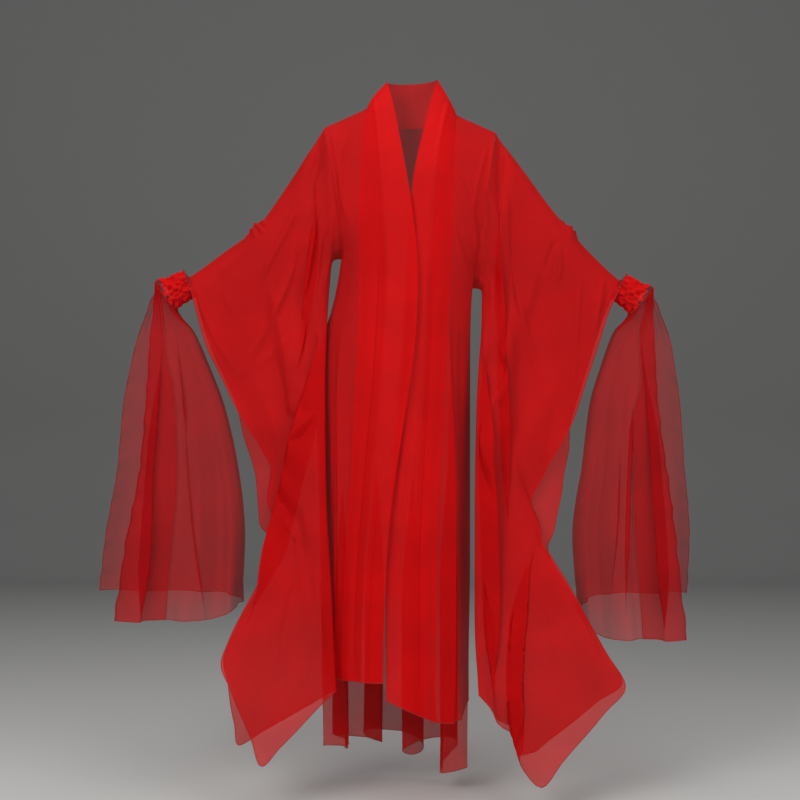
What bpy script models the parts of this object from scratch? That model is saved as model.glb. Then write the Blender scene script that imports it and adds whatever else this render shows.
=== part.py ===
"""Sheer open-front robe with a long collar band, wide sleeves and hanging cuff pieces.

The robe is held in the shape it takes when worn with both arms spread. Sizes in the tables are in
millimetres: x to the wearer's left, y to the back, z up, with the origin between the shoulders.
"down" is the distance below the origin. Each grid is the inner face of a wall of cloth.
"""
import math

import bpy
from mathutils import Vector

MM = 0.001
CLOTH = 1.2
BAND = 2.2
# Share of its wall by which each piece stays back from a seam
SEAM_SHARE = 0.2
# Edges sharper than this, in degrees, stay crisp
CRISP = 50
RED = (0.60, 0.006, 0.010, 1.0)
BAND_RED = (0.62, 0.005, 0.008, 1.0)
SHEER_RED = (0.42, 0.020, 0.028, 1.0)
CLOTH_ROUGHNESS = 0.75


def table(columns, rows):
    """Rows of numbers with named columns."""
    names = columns.split()
    return [dict(zip(names, row)) for row in rows]


# Body, from the armpits down
BODY = table("down x_right x_left y_front y_back", [
    (331, -144, 143, -103, 106),
    (378, -147, 143, -106, 103),
    (423, -161, 140, -110, 101),
    (460, -176, 139, -114, 101),
    (560, -203, 139, -119, 106),
    (690, -205, 139, -125, 115),
    (840, -200, 139, -129, 121),
    (1015, -196, 139, -132, 125),
    (1210, -194, 136, -136, 128),
    (1400, -190, 133, -138, 131),
])
# The body's section is a rounded one: 2 would be an ellipse
ROUND = 2.4
BODY_SHARE = 0.45

# Shoulder seam (0) to armpit (1); edge is the half depth of the armhole
YOKE = table("part edge share", [
    (0.00, 0, 1.00),
    (0.04, 22, 1.00),
    (0.12, 41, 1.00),
    (0.23, 58, 1.00),
    (0.37, 69, 1.00),
    (0.53, 72, 0.95),
    (0.69, 64, 0.80),
    (0.83, 47, 0.66),
    (0.93, 29, 0.55),
    (1.00, 0, BODY_SHARE),
])
TIP_RIGHT, TIP_LEFT = (-187, 36), (196, 47)
ARMPIT_RIGHT, ARMPIT_LEFT = (-144, 331), (143, 396)
NECK_RIGHT, NECK_LEFT = -92, 110
SHOULDER_SLOPE = 0.45
NECK_BACK_DOWN = 26
NECK_CURVE = 2.2
# The body reaches its full depth this far below the shoulder line
SHOULDER_CURVE = 300
YOKE_FRONT, YOKE_BACK = -103, 106

# Collar band: outer edge on the front panel, inner edge free
COLLAR_RIGHT = table("down outer_x inner_x inner_y inner_down", [
    (-7, -92, -46, 0, -66),
    (31, -99, -30, -50, 2),
    (120, -104, -17, -86, 82),
    (211, -107, 1, -104, 172),
    (333, -108, 20, -119, 335),
    (430, -107, 22, -124, 432),
    (690, -118, -8, -136, 692),
    (840, -126, -34, -139, 842),
    (1100, -143, -52, -143, 1100),
    (1257, -145, -54, -146, 1257),
])
COLLAR_LEFT = table("down outer_x inner_x inner_y inner_down", [
    (-2, 110, 67, 0, -76),
    (40, 106, 47, -50, -5),
    (120, 102, 29, -84, 80),
    (211, 99, 4, -97, 172),
    (333, 94, -2, -104, 335),
    (430, 88, -6, -109, 430),
    (690, 74, -22, -121, 690),
    (840, 65, -40, -125, 842),
    (1100, 58, -50, -130, 1095),
    (1347, 60, -47, -134, 1297),
])
COLLAR_TOP_X, COLLAR_TOP_HALF, COLLAR_TOP_DEPTH = 10.5, 56.5, 46
COLLAR_TOP_DOWN = -72
COLLAR_ROLL = 7
# Between these depths below the origin the band turns from the neck to the front
BAND_TURN_FROM, BAND_TURN_TO = -10, 110

# Hems: share runs across the panel, from right to left or from the band to the side
BACK_HEM = table("share down", [
    (-1.0, 1425), (-0.68, 1442), (-0.44, 1422), (-0.24, 1447), (-0.03, 1422),
    (0.15, 1475), (0.37, 1432), (0.63, 1482), (0.86, 1494), (1.0, 1472),
])
FRONT_RIGHT_HEM = table("share down", [(0.0, 1257), (0.5, 1253), (1.0, 1260)])
FRONT_LEFT_HEM = table("share down", [(0.0, 1347), (0.5, 1350), (1.0, 1310)])

# Long folds of the body: place is the share across the panel, push is outward at the hem
BACK_FOLDS = table("place half push start", [
    (-0.84, 0.13, -26, 520),
    (-0.60, 0.13, 20, 560),
    (-0.35, 0.15, -26, 480),
    (-0.06, 0.15, 22, 420),
    (0.23, 0.15, -28, 500),
    (0.53, 0.15, 20, 460),
    (0.83, 0.12, -22, 560),
])
FRONT_RIGHT_FOLDS = table("place half push start", [
    (0.30, 0.26, 11, 430),
    (0.80, 0.20, -9, 520),
])
FRONT_LEFT_FOLDS = table("place half push start", [
    (0.28, 0.26, 9, 430),
    (0.72, 0.24, -9, 620),
])

# Sleeve stations: down a section from the top of the arm to the seam beside the body
STATIONS = "share top under upper middle low flare corner seam"
RIGHT_X = table(STATIONS, [
    (0.00, -187, -178, -169, -162, -155, -151, -146, -144),
    (0.06, -202, -194, -187, -182, -180, -178, -173, -168),
    (0.15, -227, -218, -211, -206, -202, -195, -185, -176),
    (0.32, -277, -265, -251, -239, -229, -219, -205, -182),
    (0.55, -342, -319, -300, -277, -262, -238, -214, -179),
    (0.78, -418, -387, -341, -281, -256, -245, -222, -167),
    (1.00, -490, -454, -390, -303, -321, -404, -315, -156),
])
RIGHT_DOWN = table(STATIONS, [
    (0.00, 36, 104, 164, 209, 248, 279, 306, 331),
    (0.06, 61, 148, 207, 248, 279, 304, 325, 336),
    (0.15, 99, 167, 226, 276, 321, 357, 384, 405),
    (0.32, 176, 257, 329, 402, 474, 542, 604, 595),
    (0.55, 263, 351, 442, 548, 652, 769, 866, 839),
    (0.78, 320, 428, 536, 670, 820, 997, 1135, 1059),
    (1.00, 374, 513, 652, 799, 977, 1216, 1432, 1274),
])
LEFT_X = table(STATIONS, [
    (0.00, 196, 184, 176, 166, 160, 155, 151, 143),
    (0.06, 209, 198, 189, 182, 178, 175, 171, 164),
    (0.15, 225, 216, 207, 200, 195, 188, 179, 165),
    (0.32, 266, 252, 233, 219, 205, 192, 176, 151),
    (0.55, 320, 301, 273, 227, 203, 188, 172, 145),
    (0.78, 396, 373, 331, 231, 209, 198, 181, 144),
    (1.00, 477, 438, 370, 271, 311, 468, 286, 153),
])
LEFT_DOWN = table(STATIONS, [
    (0.00, 47, 119, 187, 238, 288, 328, 364, 396),
    (0.06, 68, 166, 243, 288, 327, 356, 381, 401),
    (0.15, 88, 167, 235, 289, 339, 386, 427, 452),
    (0.32, 142, 232, 316, 398, 474, 555, 622, 635),
    (0.55, 216, 311, 424, 536, 648, 769, 877, 855),
    (0.78, 304, 405, 536, 704, 847, 1041, 1168, 1124),
    (1.00, 385, 479, 688, 875, 984, 1266, 1477, 1285),
])
SLEEVE_Y = table(STATIONS, [
    (0.00, 0, 0, 0, 0, 0, 0, 0, 0),
    (0.06, 0, 0, -1, -2, -3, -4, -5, -6),
    (0.15, 0, -2, -5, -9, -14, -19, -24, -28),
    (0.32, 0, -3, -10, -20, -34, -52, -70, -84),
    (0.55, 0, -3, -12, -28, -50, -76, -100, -108),
    (0.78, 0, -3, -14, -34, -62, -96, -120, -120),
    (1.00, 0, -3, -14, -36, -76, -116, -138, -130),
])
SLEEVE_HALF_GAP = table(STATIONS, [
    (0.00, 20, 62, 70, 70, 64, 52, 34, 10),
    (0.06, 30, 56, 60, 58, 50, 40, 27, 9),
    (0.15, 36, 50, 46, 40, 32, 24, 16, 8),
    (0.32, 36, 46, 34, 26, 22, 19, 15, 8),
    (0.55, 36, 44, 28, 22, 20, 20, 16, 8),
    (0.78, 34, 40, 24, 20, 20, 22, 18, 8),
    (1.00, 30, 34, 22, 18, 20, 24, 20, 9),
])
STATION_STEPS = (4, 4, 4, 3, 4, 4, 4)
SLEEVE_ROWS = 15
# The two layers close on each other over this many steps at the top and at the seam
CLOSING_STEPS = 3
# Up to this share of the way to the cuff, the section still takes the shape of the armhole
ARMHOLE_REACH = 0.22
# Folds of a sleeve: they fan out from the top of the arm; place is along the sleeve
SLEEVE_FOLDS = table("place lean half push from_step to_step", [
    (0.17, 0.05, 0.09, -9, 4, 20),
    (0.36, 0.04, 0.09, 9, 5, 24),
    (0.52, 0.10, 0.08, -10, 4, 26),
    (0.70, 0.06, 0.09, 10, 7, 26),
    (0.88, -0.04, 0.09, -9, 7, 26),
])
FOLD_START, FOLD_IN, FOLD_OUT = 0.2, 4, 3
# At the cuff, how far stations of the back layer lie from those of the front layer
BACK_LAYER_RIGHT = {"middle": (-39, 20), "corner": (-54, -35)}
BACK_LAYER_LEFT = {"middle": (75, -25), "corner": (-27, -56)}
# From this share of the way to the cuff, the layers part and the edges grow straight below the wrist
CUFF_FROM = 0.66
WRIST_STEPS = 4

# Wrist bands; cuff_out is how far beyond the band's edge the hanging cuff piece starts
WRIST_RIGHT = {"x": -517.5, "down": 399.5, "axis": (-0.88, 0.0, -0.475), "cuff_out": 3.7}
WRIST_LEFT = {"x": 499.4, "down": 409.2, "axis": (0.82, 0.0, -0.572), "cuff_out": 3.1}
RUFFLE_PROFILE = table("along radius wave", [
    (-26, 37, 6.0), (-13, 33, 3.0), (0, 30.5, 1.2), (13, 33, 3.0), (26, 37.5, 6.5),
])
RUFFLE_WAVES = 12
RUFFLE_COLUMNS = 48
RUFFLE_TWIST, RUFFLE_SHIFT = 0.02, 0.25

# Hanging cuff pieces: back and front are the free edges, inner is the fold toward the body
WATER_RIGHT = table("row back_x inner_x front_x y_back y_front back_down inner_down front_down", [
    (0.14, -616, -480, -572, 44, -48, 505, 500, 505),
    (0.34, -650, -418, -580, 56, -58, 650, 650, 650),
    (0.56, -666, -382, -594, 60, -64, 810, 808, 812),
    (0.78, -692, -368, -622, 64, -68, 950, 950, 960),
    (1.00, -708, -374, -646, 66, -70, 1085, 1098, 1134),
])
WATER_LEFT = table("row back_x inner_x front_x y_back y_front back_down inner_down front_down", [
    (0.14, 596, 462, 546, 44, -48, 505, 500, 505),
    (0.34, 622, 412, 552, 56, -58, 650, 650, 650),
    (0.56, 634, 392, 572, 60, -64, 810, 806, 810),
    (0.78, 646, 372, 590, 64, -68, 950, 950, 955),
    (1.00, 640, 384, 612, 66, -70, 1090, 1125, 1176),
])
WATER_RING_RADIUS = 41
WATER_RING_FROM, WATER_RING_TO = 12, 348
WATER_BACK_COLUMNS, WATER_FRONT_COLUMNS = 15, 14
WATER_ROWS = (0.0, 0.05, 0.14, 0.24, 0.34, 0.45, 0.56, 0.67, 0.78, 0.89, 1.0)
WATER_WAVES, WATER_WAVE_HEIGHT = 3.5, 15

YOKE_STEPS = 9
SKIRT_STEPS = 12
# Rows below the armpits over which the columns draw closer at the sides
SPREAD_ROWS = 3
# How soon the columns move from the neckline to even places across the back
YOKE_SPREAD = 0.7
FRONT_COLUMNS = 11
BACK_SHARES = (0, 0.08, 0.16, 0.24, 0.32, 0.40, 0.46, 0.50, 0.58, 0.66, 0.74, 0.82, 0.89, 0.95, 1.0)
NECK_SHARE = 0.50
BAND_COLUMNS = 4


def read(rows, by, at, column):
    """Smooth value of a column at a place, never outside its neighbours."""
    xs = [row[by] for row in rows]
    ys = [row[column] for row in rows]
    if at <= xs[0]:
        return ys[0]
    if at >= xs[-1]:
        return ys[-1]
    i = max(k for k in range(len(xs) - 1) if xs[k] <= at)

    def slope(k):
        ends = [(ys[m + 1] - ys[m]) / (xs[m + 1] - xs[m]) for m in (k - 1, k) if 0 <= m < len(xs) - 1]
        if len(ends) == 1:
            return ends[0]
        return 0.0 if ends[0] * ends[1] <= 0 else 2 * ends[0] * ends[1] / (ends[0] + ends[1])

    h = xs[i + 1] - xs[i]
    t = (at - xs[i]) / h
    return ((1 + 2 * t) * (1 - t) ** 2 * ys[i] + t * (1 - t) ** 2 * h * slope(i)
            + t * t * (3 - 2 * t) * ys[i + 1] - t * t * (1 - t) * h * slope(i + 1))


def mix(a, b, t):
    return a + (b - a) * t


def smooth(t):
    t = min(max(t, 0.0), 1.0)
    return t * t * (3 - 2 * t)


def bump(distance, half):
    """A soft ridge one high and two halves wide."""
    return 0.0 if abs(distance) >= half else math.cos(math.pi * distance / half / 2) ** 2


# Body surface
def ridge(x):
    """How far down the line of the shoulders lies."""
    centre = (NECK_RIGHT + NECK_LEFT) / 2
    side, tip = (-1, TIP_RIGHT) if x < centre else (1, TIP_LEFT)
    return tip[1] - SHOULDER_SLOPE * (side * (tip[0] - x))


def neckline(x):
    """The top edge of the back: the shoulder line, cut down in a curve between the neck points."""
    centre, half = (NECK_RIGHT + NECK_LEFT) / 2, (NECK_LEFT - NECK_RIGHT) / 2
    away = abs(x - centre) / half
    if away >= 1:
        return ridge(x)
    return mix(NECK_BACK_DOWN, ridge(NECK_RIGHT if x < centre else NECK_LEFT), away ** NECK_CURVE)


def armpit_line(x):
    return mix(ARMPIT_RIGHT[1], ARMPIT_LEFT[1],
               (x - ARMPIT_RIGHT[0]) / (ARMPIT_LEFT[0] - ARMPIT_RIGHT[0]))


def yoke_sides(part):
    """Right and left armhole x at a share of the way from shoulder to armpit."""
    return (mix(TIP_RIGHT[0], ARMPIT_RIGHT[0], part), mix(TIP_LEFT[0], ARMPIT_LEFT[0], part))


def yoke_depth(x, down, part, front):
    """Depth of the body between the shoulders and the armpits."""
    right, left = yoke_sides(part)
    away = min(1.0, abs(2 * x - right - left) / (left - right))
    below = min(max(down - ridge(x), 0.0), SHOULDER_CURVE) / SHOULDER_CURVE
    full = abs(YOKE_FRONT if front else YOKE_BACK) * math.sqrt(1 - (1 - below) ** 2)
    if part <= 0:
        edge, share = full, 1.0
    else:
        edge = min(read(YOKE, "part", part, "edge"), full)
        share = read(YOKE, "part", part, "share")
    depth = edge + (full - edge) * max(0.0, 1 - away ** ROUND) ** share
    return -depth if front else depth


def skirt_depth(x, down, front):
    """Depth of the body below the armpits."""
    right, left = (read(BODY, "down", down, c) for c in ("x_right", "x_left"))
    away = min(1.0, abs(2 * x - right - left) / (left - right))
    deep = read(BODY, "down", down, "y_front" if front else "y_back")
    return deep * max(0.0, 1 - away ** ROUND) ** BODY_SHARE


def outward(away, side, layer):
    """Direction out of the body; away is 0 at the middle of the panel and 1 at its side."""
    return Vector((side * away ** 4, layer * math.sqrt(1 - min(away, 1.0) ** 4), 0)).normalized()


def folded(point, out, folds, place, down, hem):
    """A body point pushed out or in by the long folds."""
    push = sum(f["push"] * bump(place - f["place"], f["half"])
               * smooth((down - f["start"]) / (hem - f["start"])) for f in folds if down > f["start"])
    return point + out * push


def back_grid():
    """Rows from the top edge to the hem, columns from the wearer's right to left."""
    shares = [-s for s in reversed(BACK_SHARES[1:])] + list(BACK_SHARES)
    grid = []
    for i in range(YOKE_STEPS + 1):
        part = YOKE[i]["part"]
        right, left = yoke_sides(part)
        row = []
        for g in shares:
            even = mix(right, left, (g + 1) / 2)
            if abs(g) <= NECK_SHARE:
                top = mix(NECK_RIGHT, NECK_LEFT, (g / NECK_SHARE + 1) / 2)
            else:
                neck, tip = (NECK_RIGHT, TIP_RIGHT) if g < 0 else (NECK_LEFT, TIP_LEFT)
                top = mix(neck, tip[0], (abs(g) - NECK_SHARE) / (1 - NECK_SHARE))
            x = mix(top, even, part ** YOKE_SPREAD)
            down = mix(neckline(x), armpit_line(x), part)
            row.append(Vector((x, yoke_depth(x, down, part, False), -down)))
        grid.append(row)
    for i in range(1, SKIRT_STEPS + 1):
        row = []
        for g in shares:
            hem = read(BACK_HEM, "share", g, "down")
            start = mix(ARMPIT_RIGHT[1], ARMPIT_LEFT[1], (g + 1) / 2)
            down = mix(start, hem, i / SKIRT_STEPS)
            right, left = (read(BODY, "down", down, c) for c in ("x_right", "x_left"))
            round_share = mix(g, math.sin(g * math.pi / 2), smooth(i / SPREAD_ROWS))
            x = mix(right, left, (round_share + 1) / 2)
            point = Vector((x, skirt_depth(x, down, False), -down))
            out = outward(abs(g), math.copysign(1, g), 1)
            row.append(folded(point, out, BACK_FOLDS, g, down, hem))
        grid.append(row)
    return grid


def front_grid(side, collar, hems, folds):
    """Rows from the shoulder to the hem, columns from the band to the side."""
    right_side = side < 0
    tip = TIP_RIGHT if right_side else TIP_LEFT
    armpit = ARMPIT_RIGHT if right_side else ARMPIT_LEFT
    grid = []
    for i in range(YOKE_STEPS + 1):
        part = YOKE[i]["part"]
        edge_x = mix(tip[0], armpit[0], part)
        inner_x = collar[0]["outer_x"]
        for _ in range(6):
            down = mix(ridge(inner_x), armpit_line(inner_x), part)
            inner_x = read(collar, "down", down, "outer_x")
        row = []
        for j in range(FRONT_COLUMNS + 1):
            even = j / FRONT_COLUMNS
            x = mix(inner_x, edge_x, mix(even, math.sin(even * math.pi / 2), part))
            down = mix(ridge(x), armpit_line(x), part)
            row.append(Vector((x, yoke_depth(x, down, part, True), -down)))
        grid.append(row)
    for i in range(1, SKIRT_STEPS + 1):
        row = []
        for j in range(FRONT_COLUMNS + 1):
            c = j / FRONT_COLUMNS
            hem = read(hems, "share", c, "down")
            down = mix(mix(armpit_line(grid[YOKE_STEPS][0].x), armpit[1], c), hem, i / SKIRT_STEPS)
            inner_x = read(collar, "down", down, "outer_x")
            edge_x = read(BODY, "down", down, "x_right" if right_side else "x_left")
            x = mix(inner_x, edge_x, math.sin(c * math.pi / 2))
            point = Vector((x, skirt_depth(x, down, True), -down))
            row.append(folded(point, outward(c, side, -1), folds, c, down, hem) if 0 < c < 1 else point)
        grid.append(row)
    return grid


def collar_grid(side, collar, back_row, front_column):
    """Rows from the centre of the back neck round and down to the hem, columns from the seam."""
    middle = len(back_row) // 2
    neck = [back_row[middle + side * k] for k in range(BACK_SHARES.index(NECK_SHARE) + 1)]
    rows = []
    for k, outer in enumerate(neck[:-1]):
        turn = math.pi / 2 * k / (len(neck) - 1)
        inner = Vector((COLLAR_TOP_X + side * COLLAR_TOP_HALF * math.sin(turn),
                        COLLAR_TOP_DEPTH * math.cos(turn),
                        -mix(COLLAR_TOP_DOWN, collar[0]["inner_down"], turn * 2 / math.pi)))
        rows.append((outer, inner, 0.0))
    for outer in front_column:
        down = -outer.z
        inner = Vector((read(collar, "down", down, "inner_x"), read(collar, "down", down, "inner_y"),
                        -read(collar, "down", down, "inner_down")))
        rows.append((outer, inner, smooth((down - BAND_TURN_FROM) / (BAND_TURN_TO - BAND_TURN_FROM))))
    grid = []
    for outer, inner, on_front in rows:
        row = []
        for j in range(BAND_COLUMNS + 1):
            w = j / BAND_COLUMNS
            point = outer.lerp(inner, w)
            away = Vector((point.x - COLLAR_TOP_X, point.y, 0)).normalized().lerp(Vector((0, -1, 0)), on_front)
            row.append(point + away * COLLAR_ROLL * math.sin(math.pi * w))
        grid.append(row)
    return grid


# Sleeves
def sleeve_centre(xs, downs, share, moved):
    """Centre line of one section with its half gap: one place for each step round the section."""
    cuff = smooth((share - CUFF_FROM) / (1 - CUFF_FROM))
    names = STATIONS.split()[1:]
    at = [0]
    for steps in STATION_STEPS:
        at.append(at[-1] + steps)
    stations = []
    for step, name in zip(at, names):
        aside, lower = moved.get(name, (0, 0))
        stations.append({"step": step,
                         "x": read(xs, "share", share, name) + aside * cuff,
                         "y": read(SLEEVE_Y, "share", share, name),
                         "z": -read(downs, "share", share, name) - lower * cuff,
                         "gap": read(SLEEVE_HALF_GAP, "share", share, name)})
    line = []
    for step in range(at[-1] + 1):
        straight = cuff * smooth((step - WRIST_STEPS) / WRIST_STEPS)
        x, y, z, gap = (curve(stations, step, c, straight) for c in ("x", "y", "z", "gap"))
        end = min(step, at[-1] - step)
        gap *= math.sqrt(1 - (1 - min(end / CLOSING_STEPS, 1)) ** 2)
        line.append((Vector((x, y, z)), gap))
    return line


def curve(rows, at, column, straight):
    """Smooth curve through the stations, rounded at the turns, or straight from one to the next."""
    i = max(k for k in range(len(rows) - 1) if rows[k]["step"] <= at)
    t = (at - rows[i]["step"]) / (rows[i + 1]["step"] - rows[i]["step"])
    a, b, c, d = (rows[min(max(k, 0), len(rows) - 1)][column] for k in (i - 1, i, i + 1, i + 2))
    round_value = 0.5 * (2 * b + (c - a) * t + (2 * a - 5 * b + 4 * c - d) * t * t
                         + (3 * b - a - 3 * c + d) * t ** 3)
    return mix(round_value, mix(b, c, t), straight)


def sleeve_grid(xs, downs, armhole, back_layer):
    """Rows along the sleeve from armhole to cuff, columns round it: front layer, seam, back layer."""
    steps = sum(STATION_STEPS)

    def place(share, step, layer):
        point, gap = sleeve_centre(xs, downs, share, back_layer if layer > 0 else {})[step]
        push = sum(f["push"] * bump(share + f["lean"] * (step / steps - 0.3) - f["place"], f["half"])
                   * smooth((step - f["from_step"]) / FOLD_IN) * smooth((f["to_step"] - step) / FOLD_OUT)
                   for f in SLEEVE_FOLDS)
        return point + Vector((0, push * smooth(share / FOLD_START) + layer * gap, 0))

    ring = list(range(steps + 1)) + list(range(steps - 1, 0, -1))
    layers = [-1] * (steps + 1) + [1] * (steps - 1)
    start = [place(0.0, s, l) for s, l in zip(ring, layers)]
    grid = []
    for i in range(SLEEVE_ROWS + 1):
        share = i / SLEEVE_ROWS
        fade = 1 - smooth(share / ARMHOLE_REACH)
        grid.append([place(share, s, l) + (armhole[k] - start[k]) * fade
                     for k, (s, l) in enumerate(zip(ring, layers))])
    return grid


def armhole_ring(front, back, back_column, steps):
    """Points round the armhole, on the panels' edges: down the front edge and up the back edge."""
    def spread(line):
        points = []
        for k in range(steps + 1):
            at = k / steps * YOKE_STEPS
            i = min(int(at), YOKE_STEPS - 1)
            points.append(line[i].lerp(line[i + 1], at - i))
        return points

    down = spread([front[i][-1] for i in range(YOKE_STEPS + 1)])
    up = spread([back[i][back_column] for i in range(YOKE_STEPS + 1)])
    return down + up[-2:0:-1]


# Wrist pieces
def wrist_frame(wrist):
    axis = Vector(wrist["axis"]).normalized()
    back = Vector((0, 1, 0))
    up = back.cross(axis)
    return Vector((wrist["x"], 0, -wrist["down"])), axis, back, up if up.z > 0 else -up


def ruffle_grid(wrist):
    """Rows along the arm, columns round the wrist."""
    centre, axis, back, up = wrist_frame(wrist)
    grid = []
    for row in RUFFLE_PROFILE:
        ring = []
        for j in range(RUFFLE_COLUMNS):
            turn = 2 * math.pi * j / RUFFLE_COLUMNS
            wave = row["wave"] * math.cos(RUFFLE_WAVES * turn + row["along"] * RUFFLE_TWIST)
            radius = row["radius"] + wave
            shift = row["along"] + RUFFLE_SHIFT * wave * math.sin(3 * turn)
            ring.append(centre + axis * shift + (up * math.cos(turn) + back * math.sin(turn)) * radius)
        grid.append(ring)
    return grid


def water_grid(wrist, rows):
    """Rows from the wrist to the hem, columns from the back free edge round to the front one."""
    centre, axis, back, up = wrist_frame(wrist)
    centre = centre + axis * (RUFFLE_PROFILE[-1]["along"] + wrist["cuff_out"])
    total = WATER_BACK_COLUMNS + WATER_FRONT_COLUMNS
    grid = []
    for v in WATER_ROWS:
        get = {name: read(rows, "row", v, name) for name in rows[0] if name != "row"}
        line = []
        for j in range(total + 1):
            turn = math.radians(mix(WATER_RING_FROM, WATER_RING_TO, j / total))
            ring = centre + (up * math.cos(turn) + back * math.sin(turn)) * WATER_RING_RADIUS
            if j <= WATER_BACK_COLUMNS:
                a = 1 - j / WATER_BACK_COLUMNS
                edge, deep, waves = "back", get["y_back"], WATER_WAVES
            else:
                a = (j - WATER_BACK_COLUMNS) / WATER_FRONT_COLUMNS
                edge, deep, waves = "front", get["y_front"], WATER_WAVES - 0.5
            wave = math.sin(2 * math.pi * waves * a) * (1 - (1 - a) ** 4)
            x = mix(get["inner_x"], get[edge + "_x"], 1 - math.cos(a * math.pi / 2))
            y = deep * math.sin(a * math.pi / 2) ** 0.5 + wave * WATER_WAVE_HEIGHT * smooth(v)
            down = mix(get["inner_down"], get[edge + "_down"], smooth(a * 2))
            hang = Vector((x, y, -down))
            line.append(ring.lerp(hang, min(v / rows[0]["row"], 1.0)))
        grid.append(line)
    return grid


# Walls of cloth
def grid_normals(grid, ring, outward):
    """Unit normals of a grid; outward is 1 or -1."""
    rows, columns = len(grid), len(grid[0])
    normals = []
    for i in range(rows):
        line = []
        for j in range(columns):
            total = Vector((0, 0, 0))
            for di, dj in ((1, 1), (1, -1), (-1, -1), (-1, 1)):
                m, n = i + di, j + dj
                if not 0 <= m < rows or (not ring and not 0 <= n < columns):
                    continue
                n %= columns
                down = grid[m][j] - grid[i][j]
                across = grid[i][n] - grid[i][j]
                total += down.cross(across).normalized() * di * dj
            line.append(total.normalized() * outward)
        normals.append(line)
    return normals


def rim(piece):
    """Row and column of every point on the open edges, with its neighbour inside."""
    rows, columns = len(piece["grid"]), len(piece["grid"][0])
    found = {}
    for j in range(columns):
        found[(0, j)] = (1, j)
        found[(rows - 1, j)] = (rows - 2, j)
    if not piece["ring"]:
        for i in range(rows):
            inside = min(max(i, 1), rows - 2)
            found[(i, 0)] = (inside, 1)
            found[(i, columns - 1)] = (inside, columns - 2)
    return found


def join_seams(pieces):
    """Give points that meet at a seam one normal, and draw each back by a share of its wall."""
    meeting = {}
    for piece in pieces:
        for (i, j), inside in rim(piece).items():
            p = piece["grid"][i][j]
            meeting.setdefault(tuple(round(c, 2) for c in p), []).append((piece, i, j, inside))
    moves = []
    for spot, places in meeting.items():
        on_side = abs(spot[1]) < 0.01 and any(p[0]["panel"] for p in places)
        if len(places) < 2 and not on_side:
            continue
        normal = sum((piece["normals"][i][j] for piece, i, j, _ in places), Vector((0, 0, 0)))
        if on_side:
            normal.y = 0
        normal.normalize()
        for piece, i, j, (m, n) in places:
            piece["normals"][i][j] = normal
            toward = piece["grid"][m][n] - piece["grid"][i][j]
            toward = (toward - normal * toward.dot(normal)).normalized()
            moves.append((piece, i, j, toward * piece["wall"] * SEAM_SHARE))
    for piece, i, j, move in moves:
        piece["grid"][i][j] = piece["grid"][i][j] + move


def follow_armhole(piece):
    """Lay the sleeve points between two points of the body's edge on the line between them."""
    grid, normals = piece["grid"][0], piece["normals"][0]
    between = sum(STATION_STEPS) // YOKE_STEPS
    for k in range(len(grid)):
        first = k - k % between
        last = (first + between) % len(grid)
        share = (k % between) / between
        if share:
            grid[k] = grid[first].lerp(grid[last], share)
            normals[k] = normals[first].lerp(normals[last], share)


def build(piece):
    """One closed wall: the grid, the same grid moved out by the wall, and the rims between."""
    grid, normals, ring = piece["grid"], piece["normals"], piece["ring"]
    rows, columns = len(grid), len(grid[0])
    inner = [p * MM for line in grid for p in line]
    outer = [(p + n * piece["wall"]) * MM for line, ns in zip(grid, normals) for p, n in zip(line, ns)]
    count = len(inner)
    faces = []
    wraps = columns if ring else columns - 1
    for i in range(rows - 1):
        for j in range(wraps):
            a, b = i * columns + j, i * columns + (j + 1) % columns
            c, d = a + columns, b + columns
            faces.append((a, b, d, c))
            faces.append((count + a, count + c, count + d, count + b))
    for j in range(wraps):
        a, b = j, (j + 1) % columns
        faces.append((b, a, count + a, count + b))
        a, b = (rows - 1) * columns + a, (rows - 1) * columns + b
        faces.append((a, b, count + b, count + a))
    if not ring:
        for i in range(rows - 1):
            a, b = i * columns, (i + 1) * columns
            faces.append((a, b, count + b, count + a))
            a, b = a + columns - 1, b + columns - 1
            faces.append((b, a, count + a, count + b))
    if piece["outward"] < 0:
        faces = [tuple(reversed(face)) for face in faces]
    mesh = bpy.data.meshes.new(piece["name"])
    mesh.from_pydata([tuple(p) for p in inner + outer], [], faces)
    mesh.validate()
    mesh.shade_smooth()
    mesh.set_sharp_from_angle(angle=math.radians(CRISP))
    body = bpy.data.objects.new(piece["name"], mesh)
    bpy.context.scene.collection.objects.link(body)
    material = bpy.data.materials.new(piece["name"])
    material.use_nodes = True
    shader = material.node_tree.nodes["Principled BSDF"]
    shader.inputs["Base Color"].default_value = piece["colour"]
    shader.inputs["Roughness"].default_value = CLOTH_ROUGHNESS
    shader.inputs["Metallic"].default_value = 0.0
    mesh.materials.append(material)


def cloth(name, grid, wall, outward, colour, ring=False, panel=False):
    return {"name": name, "grid": grid, "wall": wall, "outward": outward, "ring": ring,
            "panel": panel, "colour": colour, "normals": grid_normals(grid, ring, outward)}


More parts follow.
